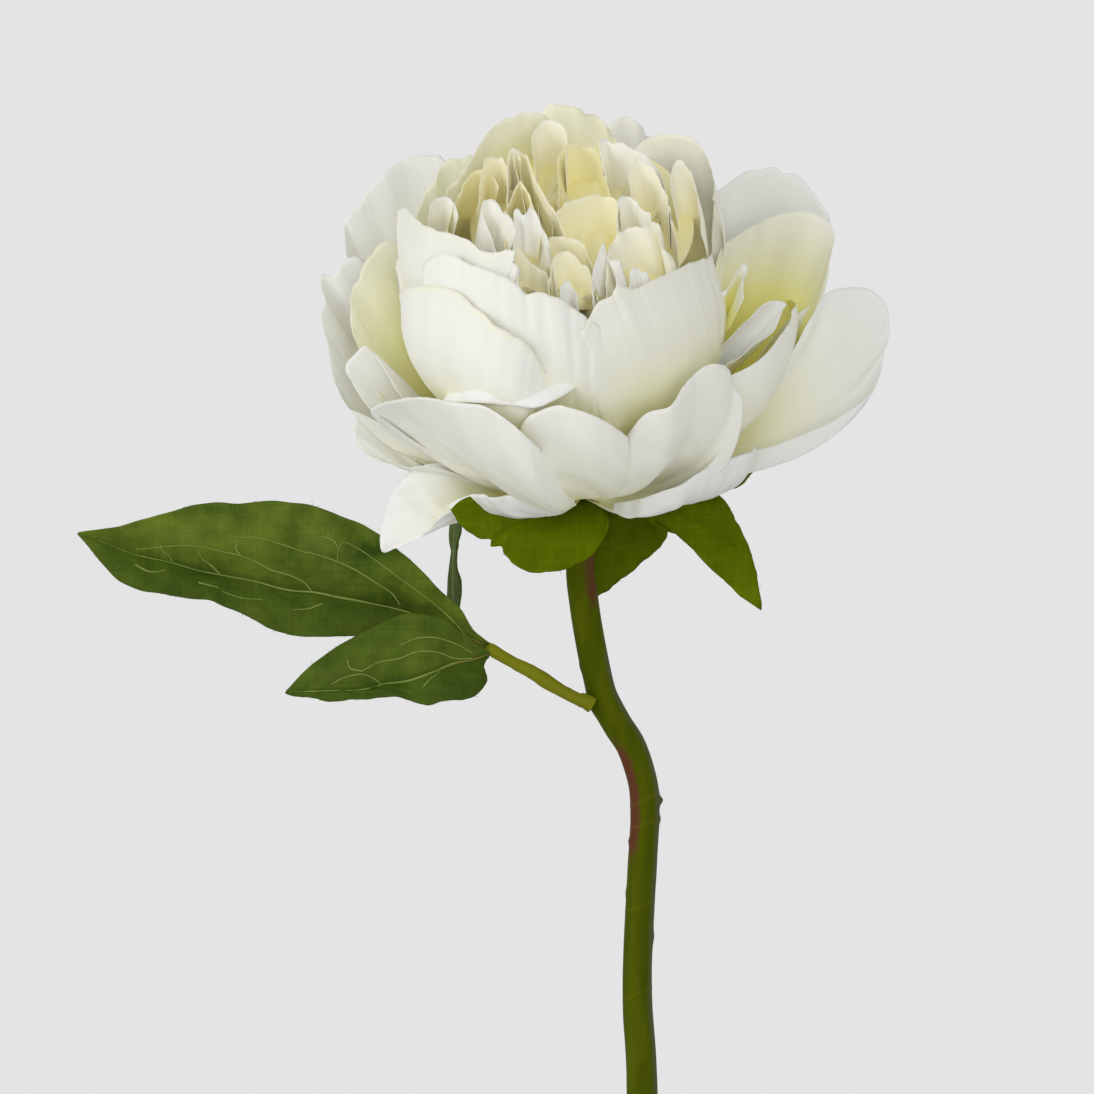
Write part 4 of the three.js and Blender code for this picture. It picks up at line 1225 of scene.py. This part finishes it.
def makeFillers():
    rng = np.random.default_rng(fillers["seed"])
    roots, aims, faces, sizes = [], [], [], []
    rows = enumerate(fillers["rows"])
    spots = [(x + fillers["stagger"] * (row % 2), y) for row, y in rows for x in fillers["places"]]
    (left, right), (top, low) = fillers["across"], fillers["down"]
    for spot in rng.normal(0, fillers["jitter"], (len(spots), 2)) + spots:
        if not (left <= spot[0] <= right and top <= spot[1] <= low):
            continue
        if within(spot, *fillers["mouth"]) > 1:
            continue
        if any(within(spot, *window) < 1 for window in fillers["clear"]):
            continue
        tip = at(*spot, slopeDepth(spot[1]) - rng.uniform(*fillers["below"]))
        start = heart + bloomAxis * rng.uniform(*fillers["rise"])
        start = start + rng.normal(0, fillers["scatter"], 3)
        aim = tip - start
        outward = awayFromAxis(tip)
        twist = rng.normal(0, fillers["twist"]) * math.pi / 180
        sideways = np.cross(bloomAxis, outward)
        roots.append(start)
        aims.append(unit(aim))
        faces.append(-outward * math.cos(twist) + sideways * math.sin(twist))
        breadth = rng.uniform(*fillers["breadth"])
        sizes.append([breadth * mm, np.linalg.norm(aim) * mm, breadth * mm])
    values = treeValues(fillers, "ruffle", "grain", "thickness")
    values["Seed"] = float(fillers["seed"])
    shapes = {"aim": aims, "face": faces, "size": sizes}
    piece = grownPiece("mouthFillers", fillerTree(), roots, [], values, **shapes)
    settle(piece, "petal_cream")


makeFillers()
makeBed()
print("petals in the mouth made")

sepals = {
    "sepal_front": {
        "rim": [(451, 510, 20), (462, 527, 20), (479, 539, 20), (491, 540, 20), (491, 546, 20),
                (502, 546, 20), (505, 555, 20), (518, 567, 20), (540, 574, 20), (561, 571, 20),
                (579, 563, 19), (596, 549, 18), (605, 536, 16), (609, 521, 14), (605, 511, 12)],
        "flare": 102, "lip": 125,
    },
    "sepal_right": {
        "rim": [(655, 524, 8), (669, 532, 9), (685, 537, 10), (711, 562, 12), (744, 591, 13),
                (762, 611, 14), (759, 588, 13), (755, 566, 12), (748, 545, 10), (737, 521, 9),
                (728, 505, 7), (720, 495, 6)],
        "flare": 100, "lip": 125,
    },
    "sepal_behind": {
        "rim": [(596, 599, -8), (617, 583, -10), (635, 569, -12), (657, 549, -13), (669, 533, -13),
                (660, 516, -11)],
        "flare": 105, "lip": 150,
    },
    "sepal_small": {
        "rim": [(726, 491, -8), (742, 485, -10), (751, 476, -11), (756, 467, -11), (754, 453, -11),
                (730, 455, -9)],
        "flare": 98, "lip": 90,
    },
}
sepalDefaults = {
    "rise": -0.4, "ruffle": 0.5, "frill": 0.12, "ragged": 0.15, "nicks": 3, "nickDepth": 0.35,
    "dent": 0.5, "creases": 3, "creaseDepth": 0.18, "thickness": 0.5,
}
sepalEdges = []
for order, (name, own) in enumerate(sepals.items()):
    sepal = {**petalDefaults, **sepalDefaults, **own}
    grid, thin, tint, _ = petalSheet(sepal, np.random.default_rng(700 + order))
    settle(sheetPiece(camel(name), grid, thin, sepalSkin, tint * 0), "leaf_green", name)
    sepalEdges.append(grid[:, -1])
print("sepals made")

# a leaflet has two edges and a midrib, each from the stalk to the tip, and printed veins
# shade: painted shade, from 0 to 1, on the half above the midrib and on the half below it
leaflets = {
    "leaflet_large": {
        "top": [(490, 644, 6), (475, 632, 6), (460, 609, 8), (448, 598, 8), (435, 584, 9), (417, 566, 10),
                (396, 549, 12), (380, 535, 12), (357, 522, 13), (329, 511, 15), (301, 504, 16),
                (268, 501, 18), (240, 503, 19), (211, 503, 20), (181, 509, 21), (144, 519, 22),
                (110, 528, 22), (79, 532, 22)],
        "rib": [(489, 646, 5), (466, 636, 4), (435, 622, 3.5), (408, 612, 4), (369, 603, 5), (337, 597, 6),
                (313, 592, 7), (287, 590, 9), (256, 582, 11), (220, 575, 13), (199, 571, 14),
                (172, 563, 16), (133, 554, 18), (105, 543, 20), (78, 533, 22)],
        "bottom": [(488, 649, 5), (455, 648, 5), (420, 645, 6), (385, 640, 7), (355, 636, 8), (327, 637, 9),
                   (304, 637, 10), (284, 633, 12), (262, 624, 14), (240, 613, 16), (217, 604, 18),
                   (195, 598, 19), (172, 595, 20), (139, 590, 22), (119, 581, 22), (105, 567, 22),
                   (88, 546, 22), (77, 534, 22)],
        "wave": 0.9, "waves": 4.6, "shade": (0.0, 0.5),
        "veins": [
            [(400, 604), (392, 593), (377, 583), (356, 570), (337, 561), (316, 554), (302, 551), (285, 545),
             (272, 541), (256, 537), (237, 537), (228, 534)],
            [(466, 635), (452, 619), (435, 604), (415, 589), (397, 576), (377, 561), (356, 547), (343, 542),
             (339, 547), (337, 560)],
            [(311, 591), (305, 583), (287, 574), (272, 570), (259, 563), (239, 555), (217, 550), (199, 546),
             (181, 545), (158, 547), (136, 549)],
            [(220, 574), (211, 565), (201, 557), (198, 547)],
            [(172, 562), (170, 557), (162, 550), (160, 544)],
            [(240, 554), (236, 549), (237, 538)],
            [(338, 548), (334, 541), (322, 536)],
            [(198, 583), (218, 588)],
            [(135, 565), (149, 572), (165, 571)],
            [(322, 604), (308, 609), (293, 610)],
            [(262, 600), (240, 598), (222, 592)],
        ],
    },
    "leaflet_front": {
        "top": [(489, 652, 7), (472, 641, 10), (455, 628, 13), (448, 621, 14), (431, 616, 15),
                (408, 613, 16), (399, 615, 16), (376, 626, 17), (356, 636, 18), (336, 647, 18),
                (314, 663, 18), (300, 676, 18), (287, 690, 18)],
        "rib": [(490, 654, 6), (475, 659, 8), (452, 664, 11), (431, 673, 13), (408, 681, 14),
                (386, 684, 15), (362, 690, 16), (331, 691, 17), (285, 692.5, 18)],
        "bottom": [(489, 657, 7), (486, 661, 8), (484, 667, 9), (487, 678, 10), (484, 687, 12),
                   (474, 697, 13), (466, 699, 14), (443, 701, 15), (428, 705, 16), (411, 701, 16),
                   (386, 697, 17), (362, 699, 17), (345, 700, 18), (328, 702, 18), (313, 698, 18),
                   (301, 697, 18), (286, 694, 18)],
        "wave": 0.7, "waves": 3.4, "shade": (0.4, 0.65),
        "veins": [
            [(472, 658), (454, 658), (441, 653), (426, 651), (412, 653), (400, 658), (376, 663),
             (362, 671)],
            [(472, 653), (458, 645), (438, 638), (417, 638), (400, 645)],
            [(382, 685), (373, 678), (362, 674), (343, 678), (331, 684)],
            [(423, 687), (432, 678), (440, 672)],
            [(362, 671), (350, 668), (347, 660)],
        ],
    },
    "leaflet_edge_on": {
        "shade": (0.75, 0.75),
        "top": [(487, 647, 5), (470, 633, 4), (459, 620, 2), (459, 607, 1), (461, 592, -1), (460, 580, -2),
                (457, 561, -4), (457, 546, -7), (461, 528, -12), (460, 511, -16), (457, 480, -26),
                (456, 452, -36)],
        "rib": [(487, 648, 4), (456, 618, -6), (454, 590, -15), (454, 561, -20), (455, 528, -26),
                (455, 490, -33), (455, 451, -38)],
        "bottom": [(486, 650, 3), (455, 628, -12), (448, 598, -24), (449, 573, -31), (452, 554, -35),
                   (450, 540, -37), (451, 511, -40), (451, 480, -41), (454, 452, -39)],
        "wave": 0.15, "waves": 3.0,
        "veins": [],
    },
}
leafCloth = {"rows": 150, "half": 26, "thickness": 0.42, "quilts": 7, "slant": 1.6, "quilt": 0.16}
veins = {
    "main": (0.52, 0.3), "side": (0.22, 0.11), "proud": 0.04, "sides": 8, "tan": 0.8, "tanLength": 26,
}


def leafSheet(leaf, rng):
    rows, half = leafCloth["rows"], leafCloth["half"]
    top, rib, bottom = (
        smoothThrough([at(*point) for point in leaf[key]], rows) for key in ("top", "rib", "bottom")
    )
    share = np.linspace(0, 1, half)[:, None, None]
    upper = top * (1 - share) + rib * share
    lower = rib * (1 - share) + bottom * share
    grid = np.vstack([upper, lower[1:]])
    s, t = np.meshgrid(np.linspace(-1, 1, len(grid)), np.linspace(0, 1, rows), indexing="ij")
    out = np.abs(s)
    ends = np.sin(math.pi * t) ** 0.6
    arch = np.sin(math.pi * out) * 0.9
    margin = wander(t + 0.13 * np.sign(s), leaf["waves"], rng) * out**2.2 * leaf["wave"]
    quilt = np.cos(2 * math.pi * (leafCloth["quilts"] * t + leafCloth["slant"] * out))
    quilt = quilt * np.sin(math.pi * out) * leafCloth["quilt"]
    grain = wander(t * 1.1 + s * 0.7, 5, rng) * wander(s - t * 0.6, 2.4, rng) * 0.2
    relief = (arch * leaf["wave"] + margin + quilt + grain) * ends
    normals = gridNormals(grid)
    facing = np.where(normals[..., 1:2].mean() > 0, -1.0, 1.0)
    # the second result is painted shade: a darker band along the midrib
    return grid + normals * facing * relief[..., None], np.clip(1 - out * 9, 0, 1) * 0.5


def onLeaf(grid, points, proud):
    # points of the front view, set on the leaf's near side
    flat = seenAt(grid)
    alongI, alongJ = np.gradient(grid, axis=0), np.gradient(grid, axis=1)
    flatI, flatJ = np.gradient(flat, axis=0), np.gradient(flat, axis=1)
    normals = gridNormals(grid)
    placed = []
    for point in smoothThrough([(*p[:2], 0) for p in points], 6 * len(points))[:, :2]:
        gap = point - flat
        i, j = np.unravel_index(np.argmin((gap**2).sum(-1)), flat.shape[:2])
        base = np.stack([flatI[i, j], flatJ[i, j]], axis=1)
        a, b = np.clip(np.linalg.lstsq(base, gap[i, j], rcond=None)[0], -1, 1)
        normal = normals[i, j] * (-1 if normals[i, j, 1] > 0 else 1)
        placed.append(grid[i, j] + a * alongI[i, j] + b * alongJ[i, j] + normal * proud)
    return np.array(placed)


def veinTree():
    # a round vein along every line, as thick as its points say
    tree, given = newTree("leafVeins", Sides="Int")
    circle = {"Resolution": given["Sides"], "Radius": 1.0}
    ring = addNode(tree, "GeometryNodeCurvePrimitiveCircle", circle)
    sweep = {
        "Curve": step(tree, "MeshToCurve", given["Geometry"]),
        "Profile Curve": ring.outputs[0],
        "Scale": named(tree, "girth"),
        "Fill Caps": True,
    }
    cord = addNode(tree, "GeometryNodeCurveToMesh", sweep)
    return endTree(tree, cord.outputs[0], veinSkin)


veinMaker = veinTree()
leafEdges = []
for order, (name, leaf) in enumerate(leaflets.items()):
    grid, paintedLeafShade = leafSheet(leaf, np.random.default_rng(800 + order))
    thin = np.full(grid.shape[:2], leafCloth["thickness"])
    # painted shade: the shade goes from the half above the midrib to the half below it, on top of the
    # painted shade along the midrib
    half = leafCloth["half"]
    paintedHalfShade = np.interp(np.arange(len(grid)), (half - 4, half + 3), leaf["shade"])
    paintedLeafShade = np.clip(paintedLeafShade + paintedHalfShade[:, None], 0, 1)
    settle(sheetPiece(camel(name), grid, thin, leafSkin, paintedLeafShade), "leaf_green", name)
    leafEdges += [grid[0], grid[-1]]
    lines = [grid[half - 1, 2:-3:2]]
    proud = leafCloth["thickness"] / 2 + veins["proud"]
    lines += [onLeaf(grid, vein, proud) for vein in leaf["veins"]]
    girth = [np.linspace(*veins["side" if k else "main"], len(line)) for k, line in enumerate(lines)]
    # the midrib is tan at its base
    tan = [stepUp(1 - np.arange(len(lines[0])) / veins["tanLength"], 0, 1)]
    tan += [np.zeros(len(line)) for line in lines[1:]]
    looks = {"girth": np.concatenate(girth) * mm, "tint": np.concatenate(tan) * veins["tan"]}
    values = treeValues(veins, "sides")
    piece = grownPiece(camel(name) + "Veins", veinMaker, *strung(lines), values, **looks)
    settle(piece, "leaf_green")
print("leaflets made")

# frayed threads along the cut edges of the cloth leaves and sepals
fray = {
    "spacing": 0.0011, "length": 0.0011, "thickness": 0.00005, "point": 0.00001, "share": 0.45,
    "size": (0.4, 1.3), "seed": 5,
}


def frayTree():
    tree, given = newTree(
        "frayedThreads", Spacing="Float", Length="Float", Thickness="Float", Share="Float", Seed="Int"
    )

    def random(kind, salt, **inputs):
        inputs["Seed"] = mathNode(tree, "ADD", given["Seed"], float(salt))
        node = addNode(tree, "FunctionNodeRandomValue", inputs, data_type=kind)
        return next(s for s in node.outputs if s.enabled)

    line = step(tree, "MeshToCurve", given["Geometry"])
    along = {"Curve": line, "Length": given["Spacing"]}
    spots = addNode(tree, "GeometryNodeCurveToPoints", along, mode="LENGTH")
    cone = {"Vertices": 4, "Side Segments": 2, "Radius Bottom": given["Thickness"]}
    cone.update({"Radius Top": fray["point"], "Depth": given["Length"]})
    thread = addNode(tree, "GeometryNodeMeshCone", cone)
    thinnest, thickest = fray["size"]
    placing = {
        "Points": spots.outputs["Points"],
        "Selection": random("BOOLEAN", 0, Probability=given["Share"]),
        "Instance": thread.outputs["Mesh"],
        "Rotation": random("FLOAT_VECTOR", 1, Min=grey(0.0), Max=grey(6.3)),
        "Scale": random("FLOAT_VECTOR", 2, Min=(1.0, 1.0, thinnest), Max=(1.0, 1.0, thickest)),
    }
    many = addNode(tree, "GeometryNodeInstanceOnPoints", placing)
    return endTree(tree, many.outputs[0], sepalSkin)


values = treeValues(fray, "spacing", "length", "thickness", "share", "seed")
piece = grownPiece("frayedThreads", frayTree(), *strung(leafEdges + sepalEdges), values)
settle(piece, "leaf_green")
print("threads made")

# stem points end with the radius there; turn: 0 is the right side, 180 the left, 270 the front
# bumps: down, turn, height, breadth
stem = {
    "foot": (6, -13, 5.8, 3.7),
    "points": [
        (642.5, 1110, -8.3, 3.9), (641.2, 1060, -9.6, 3.85), (638, 1015, -11, 3.75),
        (637.2, 985, -11.5, 3.7), (638.6, 935, -12.2, 3.68), (641, 888, -12.4, 3.66),
        (643.8, 842, -12.2, 3.66), (645, 814, -11.8, 3.7), (643.8, 789, -11.4, 3.72),
        (638.5, 766, -10.9, 3.72), (630, 744, -10.4, 3.72), (619, 727, -9.9, 3.75),
        (609.5, 710, -9.4, 3.75), (602.5, 695, -8.9, 3.7), (596, 670, -8, 3.7),
        (589.8, 640, -6.6, 3.72), (584.3, 604, -4.5, 3.68), (580.4, 571, -2.3, 3.62),
    ],
    "sides": 48,
    "bumps": [
        (801, 5, 1.0, 0.95), (819, 0, 0.32, 0.9), (842, 182, 0.3, 0.8), (893, 185, 0.22, 1.2),
        (936, 3, 0.28, 1.8), (1065, 268, 0.75, 1.5), (1074, 262, 0.3, 1.0), (664, 184, 0.2, 0.9),
        (700, 190, 0.5, 2.6),
    ],
    "rings": [(799, 0.09), (823, 0.05), (994, 0.06), (906, 0.04)],
    # coloured patches: turn, where the side begins, middle, half length, strength
    "blush": [(196, 0.25, 797, 62, 1.1), (318, 0.6, 575, 34, 0.7)],
    "dust": {"turn": 352, "from": 0.55, "down": (600, 680), "strength": 0.95},
    "swell": 0.09,
    "radius": 3.7,
    "ringBreadth": 0.35,
    "ringPale": 0.14,
    "rows": 560,
}


def rodPath(points):
    return [(*at(a, d, t), radius) for a, d, t, radius in points]


def stemPiece():
    points = rodPath(stem["points"])
    foot = np.array(stem["foot"], float)
    halfway = (foot + np.array(points[0])) / 2
    halfway[3] = foot[3]
    neck = (*(heart + bloomAxis * -1.8), stem["radius"])
    path = smoothThrough([foot, halfway, *points, neck], stem["rows"])
    down = seenAt(path[:, :3])[:, 1]
    turn = np.arange(stem["sides"]) * 2 * math.pi / stem["sides"]
    rows, angles = np.meshgrid(down, turn, indexing="ij")
    radii = np.repeat(path[:, 3:4], stem["sides"], axis=1)
    rng = np.random.default_rng(41)
    run = np.linspace(0, 1, len(path))
    for k in (1, 2, 3):
        swell = wander(run, 9, rng)[:, None] * np.cos(k * angles + rng.uniform(0, 6))
        radii += swell * stem["swell"] / k
    for place, side, height, breadth in stem["bumps"]:
        lengthwise = (rows - place) * view["unit"] / breadth
        apart = np.angle(np.exp(1j * (angles - math.radians(side))))
        radii += height * np.exp(-(lengthwise**2) - (apart * stem["radius"] / breadth) ** 2)
    pale = np.zeros_like(radii)
    for ring, height in stem["rings"]:
        away = (rows - ring + 6 * np.cos(angles)) * view["unit"] / stem["ringBreadth"]
        line = np.exp(-(away**2))
        radii += height * line
        pale += line * stem["ringPale"]

    def facing(side, start):
        return stepUp(np.cos(angles - math.radians(side)), start, 1.0)

    blush = sum(
        facing(side, start) * np.exp(-(((rows - place) / length) ** 4)) * strength
        for side, start, place, length, strength in stem["blush"]
    )
    dusty = stem["dust"]
    dust = facing(dusty["turn"], dusty["from"]) * stepUp(rows, *dusty["down"]) * dusty["strength"]
    looks = {"blush": blush, "dust": dust, "pale": pale}
    settle(tubePiece("stem", path[:, :3], radii, stemSkin, **looks), "stem_green", "stem")


stemPiece()

petiole = {
    "points": [
        (592, 705, -5.6, 2.1), (585, 701, -5.2, 1.9), (578, 699, -5, 1.6), (562, 691, -3.8, 1.6),
        (545, 680.5, -2, 1.85), (530, 671, 0, 1.7), (513, 662.5, 2, 1.5), (500, 655, 4, 1.5),
        (492, 650, 5.2, 1.6), (487, 647.5, 5.8, 1.5),
    ],
    "sides": 28,
    "rows": 120,
    "swell": 0.05,
    "ring": {"place": 11, "breadth": 1.6, "height": 0.16},
    "pale": (0.7, 1.15),
}


def petiolePiece():
    rows, sides = petiole["rows"], petiole["sides"]
    path = smoothThrough(rodPath(petiole["points"]), rows)
    turn = np.arange(sides) * 2 * math.pi / sides
    radii = np.repeat(path[:, 3:4], sides, axis=1)
    rng = np.random.default_rng(42)
    for k in (2, 3):
        swell = wander(np.linspace(0, 1, rows), 4, rng)[:, None] * np.cos(k * turn)
        radii += swell * petiole["swell"]
    ring = petiole["ring"]
    away = (np.arange(rows)[:, None] - ring["place"]) / ring["breadth"]
    radii += ring["height"] * np.exp(-(away**2))
    pale = np.broadcast_to(np.linspace(*petiole["pale"], rows)[:, None], radii.shape)
    settle(tubePiece("petiole", path[:, :3], radii, stemSkin, pale=pale), "stem_green", "petiole")


petiolePiece()

profile = np.array(receptacleProfile, float)
rounded = smoothThrough(np.column_stack([profile[1:-1], np.zeros(len(profile) - 2)]), 60)[:, :2]
profile = np.vstack([profile[:1], rounded, profile[-1:]])
core = lathePiece("receptacle", profile, 72, sepalSkin, bloomAxis, heart)
settle(core, "stem_green", "receptacle")
print("stem made")

# radius and height up the outside of the vase, then up its inside
vase = {
    "outside": [(25.5, 0.9), (33.5, 18), (38.8, 40), (40, 58), (37.6, 82), (30, 106), (20.4, 127),
                (15.2, 144), (14, 157), (14.4, 168), (16, 178.8)],
    "inside": [(22.4, 8.5), (30, 20), (35.2, 41), (36.4, 58), (34, 81), (26.6, 104), (17, 125), (11.8, 142),
               (10.5, 157), (10.9, 168), (12.5, 178.8)],
    "foot": [(0, 0.9), (20.2, 0.9), (20.9, 0.7), (21.5, 0.1), (21.8, 0.0), (24.4, 0.0), (24.9, 0.15)],
    "lip": [(15.9, 179.3), (15.4, 179.75), (14.8, 179.96), (14.2, 180), (13.6, 179.96), (13.0, 179.7),
            (12.6, 179.3)],
    "floor": [(18, 5.3), (14, 5.0), (0, 5.0)],
    "segments": 144,
}


def throughFlat(points, count):
    return smoothThrough([(r, 0, z) for r, z in points], count)[:, (0, 2)]


outside, inside = throughFlat(vase["outside"], 110), throughFlat(vase["inside"], 100)
profile = np.vstack([vase["foot"], outside, vase["lip"], inside[::-1], vase["floor"]])
settle(lathePiece("vase", profile, vase["segments"], glazeSkin), "white_glaze", "vase")
print("vase made")

studio = {
    "background": 0.775,
    "ambient": 0.48,
    "lampTarget": (-0.02, 0.0, 0.36),
    "floorRadius": 1900.0,
}
floorMaterial, floorTree, floorShader, place = newMaterial("paleFloor", Roughness=0.85)
paper = ramp(floorTree, noise(floorTree, place, 3.0), [(0.3, grey(0.74)), (0.7, grey(0.77))])
paint(floorTree, floorShader, paper)
turn = np.linspace(0, 2 * math.pi, 96, endpoint=False)
disc = np.column_stack([np.cos(turn), np.sin(turn), np.zeros(96)]) * studio["floorRadius"]
linkMesh("floor", disc, [list(range(96))], floorMaterial)

cameraData = bpy.data.cameras.new("frontCamera")
camera = bpy.data.objects.new("frontCamera", cameraData)
scene.collection.objects.link(camera)
middle = at(view["middle"], view["middle"])
camera.location = (middle[0] * mm, -view["distance"] * mm, middle[2] * mm)
camera.rotation_euler = (math.radians(90), 0, 0)
cameraData.sensor_width = 36
cameraData.lens = 36 * view["distance"] / (view["size"] * view["unit"])
cameraData.clip_end = 50
scene.camera = camera

world = bpy.data.worlds.new("studio")
scene.world = world
world.use_nodes = True
sky = world.node_tree
sky.nodes["Background"].inputs["Color"].default_value = (*grey(studio["background"]), 1)
soft = addNode(sky, "ShaderNodeBackground", {"Color": (*grey(studio["ambient"]), 1)})
ray = addNode(sky, "ShaderNodeLightPath").outputs["Is Camera Ray"]
seen = {0: ray, 1: soft.outputs[0], 2: sky.nodes["Background"].outputs[0]}
pick = addNode(sky, "ShaderNodeMixShader", seen)
sky.links.new(pick.outputs[0], sky.nodes["World Output"].inputs["Surface"])

lamps = {
    "leftLight": {"place": (-1.7, -0.8, 0.9), "size": 1.1, "energy": 12.8},
    "rightLight": {"place": (1.0, -1.8, 0.5), "size": 1.2, "energy": 6.4},
    "frontLight": {"place": (-0.05, -2.2, 0.95), "size": 1.2, "energy": 5.7},
}
for name, settings in lamps.items():
    lampData = bpy.data.lights.new(name, "AREA")
    lampData.size = settings["size"]
    lampData.energy = settings["energy"]
    lamp = bpy.data.objects.new(name, lampData)
    scene.collection.objects.link(lamp)
    lamp.location = settings["place"]
    aim = Vector(studio["lampTarget"]) - lamp.location
    lamp.rotation_euler = aim.to_track_quat("-Z", "Y").to_euler()
scene.view_settings.view_transform = "Standard"
print("camera and lights set")
